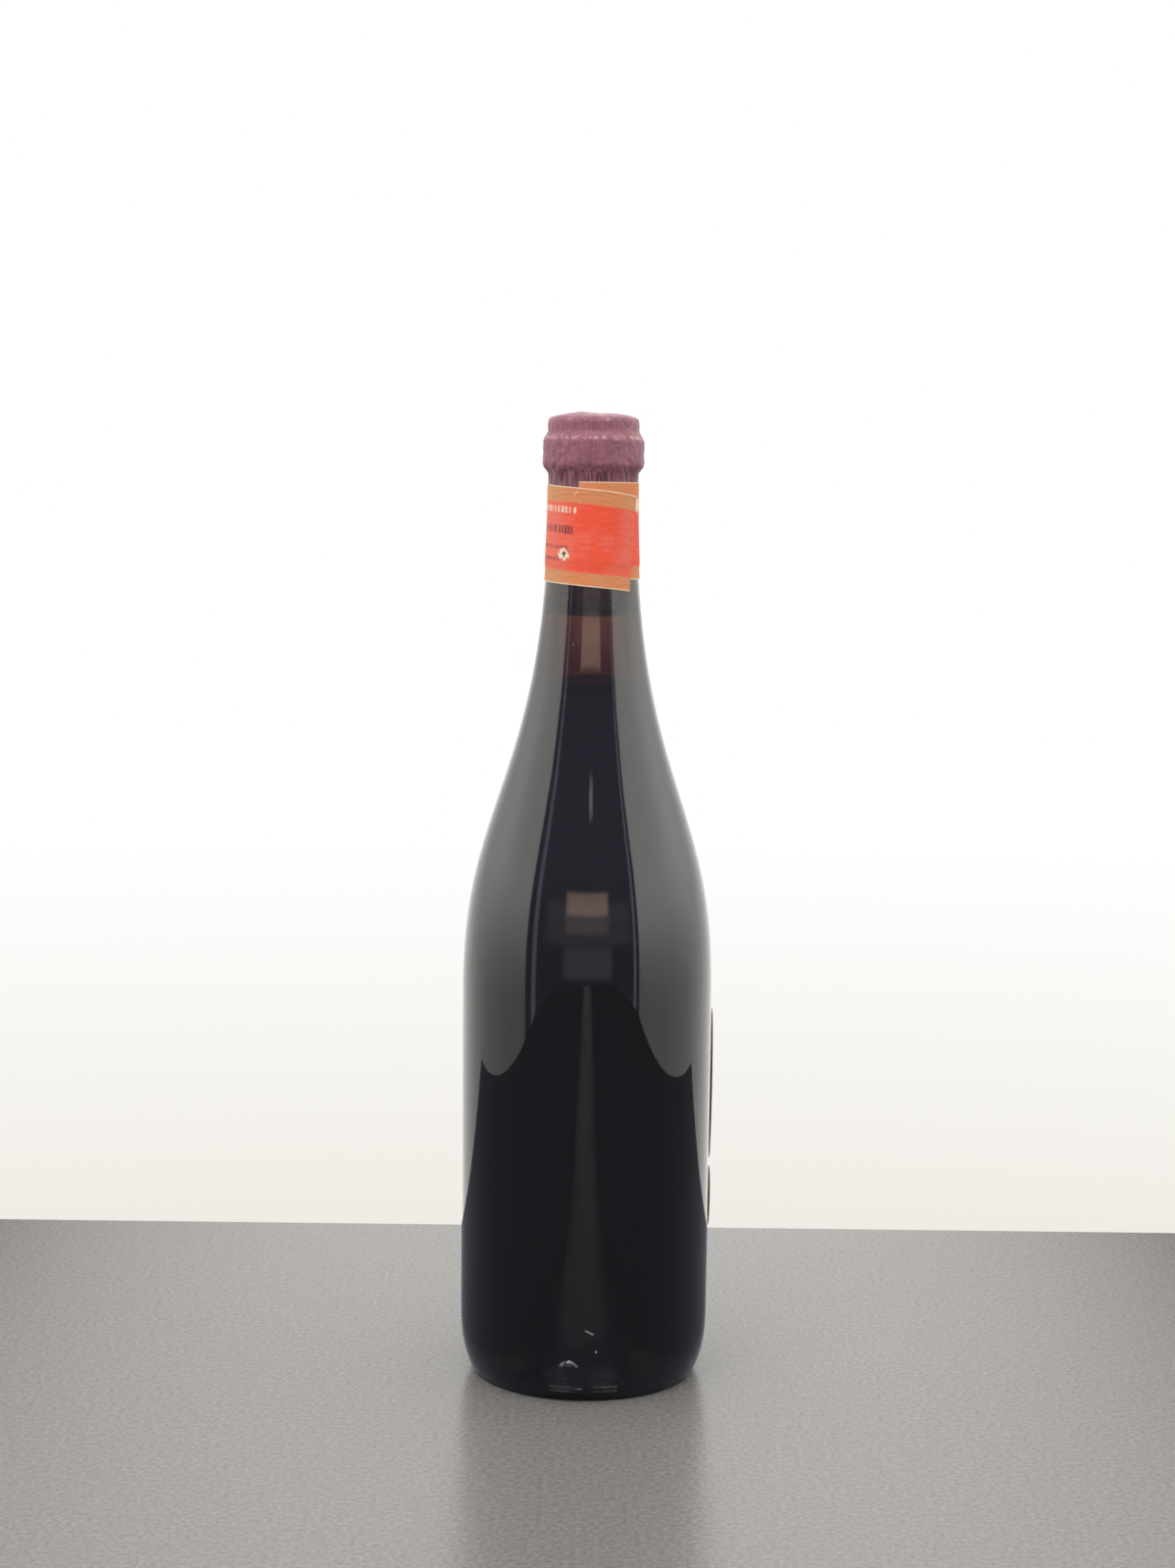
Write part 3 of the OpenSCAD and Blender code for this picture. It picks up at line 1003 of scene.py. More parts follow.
@dataclass(frozen=True)
class LabelPaper(Finish):
    """Uncoated laid label paper, cream gone yellow with age, printed with plain fields and rules.

    It is matt and fibrous, with foxing spots and a browned edge.
    """

    name: str = "label_paper_aged"
    size: Point = (110.0, 48.5)
    paper: str = "#e2d5b4"
    aged: str = "#c9b489"
    rule: str = "#7c2a2c"
    block: str = "#8f3b34"
    ink: str = "#3b2a26"
    field_rows: tuple[tuple[float, float], ...] = ((30.0, 38.5),)
    print_rows: tuple[tuple[float, float, float], ...] = (
        (24.5, 1.3, 3.2), (19.0, 0.8, 2.1), (15.5, 0.8, 2.1), (9.0, 0.6, 1.6))

    def build(self) -> bpy.types.Material:
        """Build the finish.

        Returns:
            Its material.
        """
        material, tree, shader = self.start(Roughness=0.78, Specular_IOR_Level=0.25)
        chart = add_node(tree, "ShaderNodeUVMap", {"uv_map": "UVMap"})
        large = add_node(tree, MAPPING, None, {0: chart, "Scale": (1 / MM, 1 / MM, 1 / MM)})
        along, up = (add_node(tree, SPLIT, None, {0: large}).outputs[i] for i in (0, 1))
        fibre = add_node(tree, NOISE, None, {"Vector": large, "Scale": 2.6, "Detail": 4.0, "Roughness": 0.6})
        cloud = add_node(tree, NOISE, None, {"Vector": large, "Scale": 0.07, "Detail": 6.0,
                                             "Roughness": 0.65})
        old = add_node(tree, RANGE, EASED, {0: cloud, 1: 0.4, 2: 0.7, 3: 0.0, 4: 0.7})
        colour = add_node(tree, BLEND, COLOUR, {0: old, 6: linear(self.paper),
                                                7: linear(self.aged)}).outputs[2]
        # How far a point lies inside the label's edge
        inset = []
        for value, length in ((along, self.size[0]), (up, self.size[1])):
            off = add_node(tree, MATH, SUBTRACT, {0: value, 1: length / 2})
            off = add_node(tree, MATH, ABSOLUTE, {0: off})
            inset.append(add_node(tree, MATH, SUBTRACT, {0: length / 2, 1: off}))
        depth = add_node(tree, MATH, {"operation": "MINIMUM"}, {0: inset[0], 1: inset[1]})
        # Two rules make a plain border
        for at, half in ((2.2, 0.45), (3.6, 0.15)):
            mask = stripe(tree, None, depth, at, (half - 0.06, half + 0.06, 0.85, 0.0))
            colour = add_node(tree, BLEND, COLOUR, {0: mask, 6: colour, 7: linear(self.rule)}).outputs[2]
        for low, high in self.field_rows:
            half = (high - low) / 2
            tall = stripe(tree, None, up, (low + high) / 2, (half - 0.1, half + 0.1, 0.9, 0.0))
            wide = add_node(tree, MATH, GREATER_THAN, {0: inset[0], 1: 14.0})
            mask = add_node(tree, MATH, MULTIPLY, {0: tall, 1: wide})
            colour = add_node(tree, BLEND, COLOUR, {0: mask, 6: colour, 7: linear(self.block)}).outputs[2]
        for row, half, pitch in self.print_rows:
            bar = uneven_bars(tree, along, pitch, 0.4, 0.92)
            mask = stripe(tree, None, up, row, (half - 0.06, half + 0.06, 0.85, 0.0))
            clear = add_node(tree, MATH, GREATER_THAN, {0: inset[0], 1: 22.0})
            for part in (bar, clear):
                mask = add_node(tree, MATH, MULTIPLY, {0: mask, 1: part})
            colour = add_node(tree, BLEND, COLOUR, {0: mask, 6: colour, 7: linear(self.ink)}).outputs[2]
        brown = add_node(tree, RANGE, EASED, {0: depth, 1: 0.0, 2: 1.6, 3: 0.5, 4: 0.0})
        colour = add_node(tree, BLEND, COLOUR, {0: brown, 6: colour, 7: linear(self.aged)}).outputs[2]
        tree.links.new(colour, shader.inputs["Base Color"])
        high = add_node(tree, MATH, MULTIPLY, {0: fibre, 1: 0.05 * MM})
        bump = add_node(tree, BUMP, None, {"Strength": 0.6, "Distance": 1.0, "Height": high})
        tree.links.new(bump.outputs[0], shader.inputs["Normal"])
        return material


@dataclass(frozen=True)
class HouseDust(Finish):
    """House dust: pale, matt, fluffy flakes."""

    name: str = "house_dust_settled"
    flake: str = "#b9b2aa"
    shade: str = "#8f8a84"
    tuft_w: float = 3.0

    def build(self) -> bpy.types.Material:
        """Build the finish.

        Returns:
            Its material.
        """
        material, tree, shader = self.start(Roughness=0.95, Specular_IOR_Level=0.1)
        tone = add_node(tree, NOISE, None, {"Vector": add_node(tree, COORDINATES).outputs["Object"],
                                            "Scale": 1 / (self.tuft_w * MM), "Detail": 2.0})
        colour = add_node(tree, BLEND, COLOUR, {0: tone, 6: linear(self.shade), 7: linear(self.flake)})
        tree.links.new(colour.outputs[2], shader.inputs["Base Color"])
        return material


@dataclass(frozen=True)
class TableTop(Finish):
    """Grey moulded laminate with a fine leather grain and a soft gloss."""

    name: str = "table_laminate_grained"
    low: str = "#7a7774"
    high: str = "#94918d"
    in_gloss: str = "#7b7f89"
    grain_w: float = 1.6

    def build(self) -> bpy.types.Material:
        """Build the finish.

        Returns:
            Its material.
        """
        material, tree, shader = self.start(Roughness=0.22, Specular_IOR_Level=0.13)
        place = add_node(tree, COORDINATES).outputs["Object"]
        tone = add_node(tree, NOISE, None, {"Vector": place, "Scale": 1 / (self.grain_w * MM), "Detail": 3.0})
        light = add_node(tree, RANGE, None, {0: tone, 1: 0.3, 2: 0.7, 3: 0.0, 4: 1.0})
        colour = add_node(tree, BLEND, COLOUR, {0: light, 6: linear(self.low), 7: linear(self.high)})
        # Glass and foil mirror the top as a calmer, cooler grey
        path = add_node(tree, "ShaderNodeLightPath")
        gloss = add_node(tree, MATH, {"operation": "SUBTRACT", "use_clamp": True}, {
            0: path.outputs["Is Glossy Ray"], 1: path.outputs["Is Transmission Ray"]})
        colour = add_node(tree, BLEND, COLOUR, {0: gloss, 6: colour.outputs[2], 7: linear(self.in_gloss)})
        tree.links.new(colour.outputs[2], shader.inputs["Base Color"])
        # It is glossy in the middle, where it was wiped, and dull towards its ends
        side = add_node(tree, SPLIT, None, {0: place})
        side = add_node(tree, MATH, ABSOLUTE, {0: side})
        seen = path.outputs["Is Camera Ray"]
        near = add_node(tree, RANGE, None, {0: seen, 1: 0.0, 2: 1.0, 3: 0.012, 4: 0.06})
        ends = add_node(tree, RANGE, None, {0: seen, 1: 0.0, 2: 1.0, 3: 0.06, 4: 0.24})
        shine = add_node(tree, RANGE, None, {0: seen, 1: 0.0, 2: 1.0, 3: 0.22, 4: 0.13})
        wiped = add_node(tree, RANGE, EASED, {0: side, 1: near, 2: ends, 3: shine, 4: 0.0})
        tree.links.new(wiped.outputs[0], shader.inputs["Specular IOR Level"])
        high = add_node(tree, MATH, MULTIPLY, {0: tone, 1: 0.12 * MM})
        bump = add_node(tree, BUMP, None, {"Strength": 0.6, "Distance": 1.0, "Height": high})
        tree.links.new(bump.outputs[0], shader.inputs["Normal"])
        return material


# ---------------------------------------------------------------- sub-assemblies


@dataclass
class GlassBottle:
    """The blown bottle with its punt, finish, locating boss and moulded marks."""

    form: BottleForm = field(default_factory=BottleForm)
    glass: BrownBottleGlass = field(default_factory=BrownBottleGlass)
    boss_d: float = 6.3
    boss_proud: float = 1.3
    boss_z: float = 11.1
    boss_az: float = -96.5
    corner: float = 0.5
    columns: int = 248
    crowding: float = 0.8
    boss_blend: float = 0.06
    mark_w: float = 1.0
    mark_h: float = 0.55
    mark_proud: float = 0.42

    def build(self) -> list[bpy.types.Object]:
        """Build and dress the glass and the marks on its heel.

        Returns:
            The glass first, then the marks and the lint.
        """
        material = self.glass.build()
        turned = TurnedForm("Turned bottle", material, self.boss_relief)
        bottle = turned.make("bottle_glass", self.outline(), self.columns, self.boss_az, self.crowding)
        return [fit(bottle, Slot.GLASS, "bottle"), *self.heel_marks(material)]

    def outline(self) -> Outline:
        """Return the glass's outline, of which only the heel takes the relief.

        Returns:
            Its points, from the hollow's middle over the outside to the middle of the floor.
        """
        form = self.form
        foot_r, punt_r = form.foot_d / 2, form.foot_d / 2 - form.bearing_w
        low, high = self.boss_z - 0.6 * self.boss_d, self.boss_z + 0.6 * self.boss_d
        heel = ([mix(0.15, low, (i / 18) ** 1.3) for i in range(18)]
                + [mix(low, high, i / 38) for i in range(38)]
                + [mix(high, form.heel_h, i / 12) for i in range(13)])
        body = [mix(form.heel_h, form.body_h, i / 30) for i in range(1, 30)]
        foot = [(punt_r - 0.15, 0.45), (punt_r, 0.15), (punt_r + 0.15, 0.03), (punt_r + self.corner, 0.0),
                (foot_r - self.corner, 0.0), (foot_r - 0.12, 0.04)]
        return (outline(form.hollow(punt_r - 0.2, form.punt_h - 0.6, 0.6, 18)[::-1] + foot)
                + outline([(form.body_r(z), z) for z in heel], 1.0)
                + outline([(form.body_r(z), z) for z in body])
                + outline([bezier(form.shoulder(), i / 76) for i in range(77)])
                + outline(form.finish(0.0)) + outline([(form.mouth_d / 2, form.mouth_z)])
                + outline(form.inner()[::-1][1:]))

    def boss_relief(self, tree: bpy.types.NodeTree, at: dict[str, Any]) -> bpy.types.Node:
        """Add the nodes of the round boss.

        Args:
            tree: the tree that turns the bottle.
            at: the angle, radius and height of a point on it.

        Returns:
            The node that gives the boss's height over the heel, in metres.
        """
        off = add_node(tree, MATH, SUBTRACT, {0: at["angle"], 1: math.radians(self.boss_az)})
        across = add_node(tree, MATH, MULTIPLY, {0: off, 1: at["radius"]})
        up = add_node(tree, MATH, SUBTRACT, {0: at["height"], 1: self.boss_z * MM})
        away = add_node(tree, VECTOR, {"operation": "LENGTH"}, {
            0: add_node(tree, JOIN, None, {0: across, 1: up})}).outputs["Value"]
        share = add_node(tree, MATH, DIVIDE, {0: away, 1: self.boss_d / 2 * MM})
        bowl = add_node(tree, MATH, MULTIPLY, {0: share, 1: share})
        fall = add_node(tree, MATH, {"operation": "SUBTRACT", "use_clamp": True}, {0: 1.0, 1: bowl})
        dome = add_node(tree, MATH, {"operation": "SQRT"}, {0: fall})
        cap = add_node(tree, MATH, MULTIPLY, {0: dome, 1: self.boss_proud * MM})
        return add_node(tree, MATH, {"operation": "SMOOTH_MAX"},
                        {0: cap, 1: 0.0, 2: self.boss_blend * MM})

    def marks_tree(self, material: bpy.types.Material) -> bpy.types.NodeTree:
        """Build the tree that sets a row of small moulded bars on the heel.

        Args:
            material: the bars' finish.

        Returns:
            The tree.
        """
        tree, given = start_tree("Moulded bars", {
            "Start": "Geometry", "Count": "Int", "Radius": "Float", "Height": "Float", "First": "Float",
            "Step": "Float", "Rise": "Float", "Width": "Float", "Tallness": "Float", "Proud": "Float",
            }, "Bars")
        row = add_node(tree, "GeometryNodeMeshLine", {"mode": "OFFSET"}, {"Count": given.outputs["Count"]})
        number = add_node(tree, "GeometryNodeInputIndex")
        angle = add_node(tree, MATH, MULTIPLY_ADD, {0: number, 1: given.outputs["Step"],
                                                    2: given.outputs["First"]})
        height = add_node(tree, MATH, MULTIPLY_ADD, {0: number, 1: given.outputs["Rise"],
                                                     2: given.outputs["Height"]})
        cosine = add_node(tree, MATH, {"operation": "COSINE"}, {0: angle})
        sine = add_node(tree, MATH, SINE, {0: angle})
        at = round_axis(tree, given.outputs["Radius"], cosine, sine, height)
        placed = add_node(tree, "GeometryNodeSetPosition", None, {"Geometry": row, "Position": at})
        bead = add_node(tree, "GeometryNodeMeshUVSphere", None, {"Segments": 12, "Rings": 8, "Radius": 1.0})
        size = add_node(tree, JOIN, None, {
            0: given.outputs["Proud"], 1: given.outputs["Width"], 2: given.outputs["Tallness"]})
        bars = add_node(tree, "GeometryNodeInstanceOnPoints", None, {
            "Points": placed, "Instance": bead, "Scale": size,
            "Rotation": add_node(tree, JOIN, None, {2: angle})})
        real = add_node(tree, "GeometryNodeRealizeInstances", None, {0: bars})
        soft = add_node(tree, "GeometryNodeSetShadeSmooth", None, {0: real})
        dressed = add_node(tree, "GeometryNodeSetMaterial", None, {"Geometry": soft, "Material": material})
        add_node(tree, "NodeGroupOutput", None, {"Bars": dressed})
        return tree

    def heel_marks(self, material: bpy.types.Material) -> list[bpy.types.Object]:
        """Make two rows of moulded bars on each side of the boss, a flat bead between them and some lint.

        Args:
            material: the glass, which the moulded bars share.

        Returns:
            One piece for each row.
        """
        lint_finish = HouseDust(name="white_lint_fibre", flake="#e4e2de", shade="#c4c2be")
        glass, lint = self.marks_tree(material), self.marks_tree(lint_finish.build())
        low = (self.mark_w, self.mark_h, self.mark_proud)
        pieces = []
        # Name, tree, height, first turn, count, step in turn and in height,
        # then the width, height and depth of a bar
        for name, tree, z, first, count, step, rise, (wide, tall, proud) in (
                ("heel_mark_upper_left", glass, 5.2, -16.0, 7, 1.75, 0.0, low),
                ("heel_mark_upper_right", glass, 5.2, 5.5, 7, 1.75, 0.0, low),
                ("heel_mark_lower_left", glass, 3.75, -15.0, 6, 1.9, 0.0, low),
                ("heel_mark_lower_right", glass, 3.75, 6.5, 6, 1.9, 0.0, low),
                ("heel_mark_middle", glass, 4.7, -2.0, 1, 0.0, 0.0, (2.6, self.mark_h, self.mark_proud)),
                ("lint_fibre", lint, 23.9, 1.3, 4, 0.95, -0.34, (0.9, 0.2, 0.08)),
                ("lint_speck", lint, 17.2, 5.8, 1, 0.0, 0.0, (0.36, 0.7, 0.1))):
            values = {"Count": count, "Radius": self.form.body_r(z) * MM, "Height": z * MM,
                      "First": math.radians(first - 90), "Step": math.radians(step), "Rise": rise * MM,
                      "Width": wide / 2 * MM, "Tallness": tall / 2 * MM, "Proud": proud * MM}
            start = bpy.data.meshes.new(f"{name}_start")
            pieces.append(fit(grown(name, start, tree, values), Slot.GLASS))
        return pieces


@dataclass
class Contents:
    """The wine in the bottle and the cork over it, each reaching just into the glass that holds it."""

    form: BottleForm = field(default_factory=BottleForm)
    into_wall: float = 0.15
    meniscus_h: float = 0.7
    meniscus_w: float = 2.2
    chamfer: float = 0.7
    pit_w: float = 2.5
    pit_depth: float = 0.5
    wine_columns: int = 128
    cork_columns: int = 96

    def build(self) -> list[bpy.types.Object]:
        """Build and dress the wine and the cork.

        Returns:
            The two pieces.
        """
        wine = TurnedForm("Turned wine", RedWine(level=self.form.wine_z).build())
        cork = TurnedForm("Turned cork", CorkBark().build(), self.cork_relief)
        return [fit(wine.make("red_wine", self.wine_outline(), self.wine_columns), Slot.WINE, "wine"),
                fit(cork.make("cork_stopper", self.cork_outline(), self.cork_columns), Slot.CORK, "cork")]

    def wine_outline(self) -> Outline:
        """Return the wine's outline, which climbs the glass a little at its edge.

        Returns:
            Its points, from the middle of the floor to the middle of the surface.
        """
        form, z = self.form, self.form.wine_z
        walls = shifted([p for p in form.inner() if p[1] < z - 1.2], self.into_wall)
        wall_r = form.inner_r(z) + self.into_wall
        rise = [(wall_r - self.into_wall - self.meniscus_w * i / 6, z + self.meniscus_h * (1 - i / 6) ** 2.5)
                for i in range(7)]
        return outline([(0.0, walls[0][1]), *walls[1:], (wall_r, z + self.meniscus_h), *rise, (0.0, z)])

    def cork_outline(self) -> Outline:
        """Return the cork's outline, of which only the lower end takes the relief.

        Returns:
            Its points, from the middle of the lower end to the middle of the upper end.
        """
        form, low, high = self.form, self.form.cork_z, self.form.cork_top
        sides = [mix(low + self.chamfer, high - 0.3, i / 40) for i in range(41)]
        ends = [(form.bore_r(low) + self.into_wall - self.chamfer) * i / 8 for i in range(9)]
        return (outline([(r, low) for r in ends], 0.6)
                + outline([(form.bore_r(z) + self.into_wall, z) for z in sides])
                + outline([(form.bore_r(high) - 0.3, high - 0.02)])
                + outline([(r, high) for r in (6.0, 3.0, 0.0)]))

    def cork_relief(self, tree: bpy.types.NodeTree, at: dict[str, Any]) -> bpy.types.Node:
        """Add the nodes of the pits in the cork's lower end.

        Args:
            tree: the tree that turns the cork.
            at: the angle's cosine and sine and the radius of a point on it.

        Returns:
            The node that gives the pits' height over the end, in metres.
        """
        place = round_axis(tree, at["radius"], at["cosine"], at["sine"], 0.0)
        pits = add_node(tree, NOISE, None, {"Vector": place, "Scale": 1 / (self.pit_w * MM), "Detail": 2.0})
        return add_node(tree, RANGE, None, {0: pits, 1: 0.3, 2: 0.7, 3: -self.pit_depth * MM, 4: 0.0})


@dataclass
class FoilCapsule:
    """The foil capsule, drawn tight over the ring and gathered into pleats under it."""

    form: BottleForm = field(default_factory=BottleForm)
    foil_t: float = 0.3
    gap: float = 0.04
    lip_lift: float = 0.55
    dome_h: float = 1.05
    pleat_depth: float = 0.62
    dent_depth: float = 0.3
    bump_h: float = 0.35
    bump_az: float = -150.0
    nick_az: float = -44.0
    nick_z: float = 303.6
    sunk_most: float = 0.22
    strip_z: float = 284.6
    bare_z: float = 285.5
    covered: float = 0.15
    gathered_z: float = 288.5
    smooth_z: float = 293.5
    step_z: float = 299.5
    rim_z: float = 301.0
    fold_l: float = 16.0
    dent_w: float = 3.4
    columns: int = 420

    def build(self) -> list[bpy.types.Object]:
        """Build and dress the capsule.

        Returns:
            The one piece.
        """
        turned = TurnedForm("Turned capsule", PaintedFoil().build(), self.relief)
        return [fit(turned.make("foil_capsule", self.outline(), self.columns), Slot.FOIL, "capsule")]

    def share(self, z: float) -> float:
        """Return how much of the relief a height takes: none under the paper strip."""
        return mix(self.covered, 1.0, smooth((z - self.bare_z) / 2.0)) if z > self.strip_z else 0.0

    def outline(self) -> Outline:
        """Return the foil's closed outline.

        Returns:
            Its points, down the inside, up the outside and over the dome.
        """
        form = self.form
        skirt = [mix(form.capsule_z, form.neck_z, i / 16) for i in range(17)]
        inner_rim = (form.mouth_d / 2 + form.cork_proud, form.cork_top + self.gap)
        inside = ([(0.0, inner_rim[1]), inner_rim] + form.finish(self.gap)[::-1]
                  + [(form.neck_r(z) + self.gap, z) for z in skirt[::-1]])
        finish = form.finish(self.foil_t)
        # The foil stands a little clear of the lip's rounding and then lies nearly flat over the cork
        lip = [(r, z + self.lip_lift * smooth(i / 3)) for i, (r, z) in enumerate(finish[4:], 1)]
        outer = [(form.neck_r(z) + self.foil_t, z) for z in skirt] + self.dense(finish[:4] + lip)
        rim = outer[-1]
        dome = [(rim[0] * (1 - i / 22), rim[1] + self.dome_h * (1 - (1 - i / 22) ** 4)) for i in range(1, 23)]
        return outline(inside) + [(r, self.share(z), z) for r, z in outer + dome]

    def dense(self, points: list[Point], step: float = 0.4) -> list[Point]:
        """Return an outline with more points, its corners rounded a little.

        Args:
            points: the outline's points.
            step: the most that lies between two of the new ones.

        Returns:
            The new points.
        """
        fine = [points[0]]
        for before, after in zip(points, points[1:]):
            count = max(1, math.ceil(math.dist(before, after) / step))
            fine += [(mix(before[0], after[0], i / count), mix(before[1], after[1], i / count))
                     for i in range(1, count + 1)]
        for _ in range(3):
            fine = [fine[0]] + [tuple((a[k] + 2 * b[k] + c[k]) / 4 for k in (0, 1))
                                for a, b, c in zip(fine, fine[1:], fine[2:])] + [fine[-1]]
        return fine

    def relief(self, tree: bpy.types.NodeTree, at: dict[str, Any]) -> bpy.types.Node:
        """Add the nodes of the pleats, dents, the bump on the dome and the nick on the rim.

        Args:
            tree: the tree that turns the capsule.
            at: the angle, its cosine and sine, the radius and the height of a point.

        Returns:
            The node that gives the height over the outline, in metres.
        """
        sides = {0: at["cosine"], 1: at["sine"]}
        climb = add_node(tree, MATH, MULTIPLY, {0: at["height"], 1: 1 / (self.fold_l * MM)})
        drawn = add_node(tree, JOIN, None, {**sides, 2: climb})
        # Pleats: upright folds about 1.5 mm apart, deepest where the foil is gathered under the ring
        pleats = add_node(tree, NOISE, None, {"Vector": drawn, "Scale": 9.0, "Detail": 3.0, "Roughness": 0.65,
                                              "Distortion": 0.3})
        pleats = add_node(tree, RANGE, None, {0: pleats, 1: 0.3, 2: 0.7, 3: -0.75, 4: 0.75})
        gathered = add_node(tree, RANGE, EASED, {0: at["height"], 1: self.gathered_z * MM,
                                                 2: self.smooth_z * MM, 3: 1.0, 4: 0.3})
        upper = add_node(tree, RANGE, EASED, {0: at["height"], 1: self.step_z * MM,
                                              2: self.rim_z * MM, 3: 1.0, 4: 0.25})
        where = add_node(tree, NOISE, None, {
            "Vector": add_node(tree, JOIN, None, {**sides, 2: 0.4}), "Scale": 1.4, "Detail": 1.0})
        where = add_node(tree, RANGE, EASED, {0: where, 1: 0.42, 2: 0.6, 3: 0.3, 4: 1.2})
        # The folds are deepest on the left of the front, where the roller stopped
        left = add_node(tree, MATH, MULTIPLY, {0: at["cosine"], 1: -1.0})
        left = add_node(tree, RANGE, EASED, {0: left, 1: 0.3, 2: 0.75, 3: 0.0, 4: 0.7})
        where = add_node(tree, MATH, ADD, {0: where, 1: left})
        pleat = add_node(tree, MATH, MULTIPLY, {0: pleats, 1: self.pleat_depth * MM})
        for part in (gathered, upper, where):
            pleat = add_node(tree, MATH, MULTIPLY, {0: pleat, 1: part})
        # Dents: the foil is soft and shows every knock
        spot = round_axis(tree, at["radius"], at["cosine"], at["sine"], at["height"])
        dents = add_node(tree, NOISE, None, {"Vector": spot, "Scale": 1 / (self.dent_w * MM), "Detail": 3.0,
                                             "Roughness": 0.6})
        total = add_node(tree, MATH, MULTIPLY_ADD, {
            0: add_node(tree, RANGE, None, {0: dents, 1: 0.3, 2: 0.7, 3: -0.5, 4: 0.5}),
            1: self.dent_depth * MM, 2: pleat})
        # A low bump on the dome, where the cork stands up, and the nick: turn, radius, height, reach and rise
        marks = ((self.bump_az, 5.0, 306.9, 4.5, self.bump_h), (self.nick_az, 14.3, self.nick_z, 0.9, -0.30),
                 (self.nick_az + 4, 14.3, self.nick_z - 0.9, 0.8, -0.24),
                 (self.nick_az - 4, 14.3, self.nick_z + 0.8, 0.8, -0.22))
        for az, radius, z, reach, rise in marks:
            turn = math.radians(az)
            middle = (radius * math.cos(turn) * MM, radius * math.sin(turn) * MM, z * MM)
            gap = add_node(tree, VECTOR, DISTANCE, {0: spot, 1: middle})
            hill = add_node(tree, RANGE, EASED, {0: gap.outputs["Value"], 1: 0.0, 2: reach * MM,
                                                 3: rise * MM, 4: 0.0})
            total = add_node(tree, MATH, ADD, {0: total, 1: hill})
        return add_node(tree, MATH, MAXIMUM, {0: total, 1: -self.sunk_most * MM})


@dataclass
class NeckBand:
    """The paper strip, wound once and a fifth round the neck and the capsule's lower edge."""

    form: BottleForm = field(default_factory=BottleForm)
    foil_t: float = 0.3
    width: float = 30.2
    paper_t: float = 0.18
    gap: float = 0.06
    drop: float = -1.1
    skew: float = 4.0
    skew_power: float = 4.0
    overlap: float = 75.0
    start_az: float = -108.0
    climb_arc: float = 14.0
    end_slant: float = 18.0
    end_lift: float = 0.22
    cockle_h: float = 0.07
    cockle_from: float = 362.0
    mean_r: float = 14.3
    columns: int = 290
    rows: int = 30

    @property
    def length(self) -> float:
        """Angle over which the strip is wound, in degrees."""
        return 360.0 + self.overlap

    def build(self) -> list[bpy.types.Object]:
        """Build and dress the strip.

        Returns:
            The one piece.
        """
        strip = sheet("paper_neck_band", self.columns, self.rows, self.place, self.chart,
                      PrintedBandPaper().build())
        return [fit(strip, Slot.BAND_PAPER, "neck_band")]

    def turn(self, along: float, up: float) -> float:
        """Return the angle from the strip's start, in degrees. The outer end is cut at a slant."""
        return along * (self.length + self.end_slant * (up - 0.5))

    def place(self, along: float, up: float, outer: bool) -> tuple[float, float, float]:
        """Return a point of the strip.

        Args:
            along: the share of the way from the strip's start to its free end.
            up: the share of the way from its lower edge to its upper one.
            outer: whether the point lies on the outer side.

        Returns:
            The point, in millimetres.
        """
        turn = self.turn(along, up)
        top = self.form.neck_z - self.drop - self.skew * (turn / self.length) ** self.skew_power
        z = top - self.width * (1 - up)
        lift = self.gap + (self.paper_t + self.gap) * smooth((turn - 360 + self.climb_arc) / self.climb_arc)
        foil = self.foil_t * smooth((z - self.form.capsule_z + 1.2) / 1.4)
        # The free end stands up a little, and the glue left the outer turn a little cockled
        lift += self.end_lift * smooth((along - 0.975) / 0.025)
        if turn > self.cockle_from:
            ripple = noise.noise(Vector((turn * 0.05, z * 0.22, 3.0))) + 0.35
            lift += self.cockle_h * max(ripple, 0.0) * smooth((turn - self.cockle_from) / 6)
        radius = self.form.neck_r(z) + foil + lift + (self.paper_t if outer else 0.0)
        angle = math.radians(self.start_az + turn)
        return (radius * math.cos(angle), radius * math.sin(angle), z)

    def chart(self, along: float, up: float) -> Point:
        """Return how far along and up the strip a point lies, in millimetres."""
        return (math.radians(self.turn(along, up)) * self.mean_r, up * self.width)


@dataclass
class BodyLabel:
    """A paper label glued to the body, its starting edge lifted a little."""

    name: str
    node: str
    low: float
    high: float
    finish: LabelPaper
    form: BottleForm = field(default_factory=BottleForm)
    start_az: float = -0.5
    angle: float = 160.0
    paper_t: float = 0.2
    gap: float = 0.06
    edge_lift: float = 0.45
    edge_arc: float = 3.5
    far_lift: float = 0.12
    far_arc: float = 2.0
    wave_h: float = 0.05
    columns: int = 150
    rows: int = 24

    def build(self) -> list[bpy.types.Object]:
        """Build and dress the label.

        Returns:
            The one piece.
        """
        piece = sheet(self.name, self.columns, self.rows, self.place, self.chart, self.finish.build())
        return [fit(piece, Slot.LABEL_PAPER, self.node)]

    def place(self, along: float, up: float, outer: bool) -> tuple[float, float, float]:
        """Return a point of the label.

        Args:
            along: the share of the way round from its starting edge.
            up: the share of the way from its lower edge to its upper one.
            outer: whether the point lies on the outer side.

        Returns:
            The point, in millimetres.
        """
        z = mix(self.low, self.high, up)
        turn = along * self.angle
        lift = self.edge_lift * (1 - smooth(turn / self.edge_arc)) * math.sin(math.pi * up) ** 0.5
        lift += self.far_lift * (1 - smooth((self.angle - turn) / self.far_arc))
        lift += self.wave_h * max(noise.noise(Vector((turn * 0.07, z * 0.06, 9.0))), 0.0)
        radius = self.form.radius(z) + self.gap + lift + (self.paper_t if outer else 0.0)
        angle = math.radians(self.start_az + turn)
        return (radius * math.cos(angle), radius * math.sin(angle), z)

    def chart(self, along: float, up: float) -> Point:
        """Return how far along and up the label a point lies, in millimetres."""
        return (along * self.finish.size[0], up * (self.high - self.low))


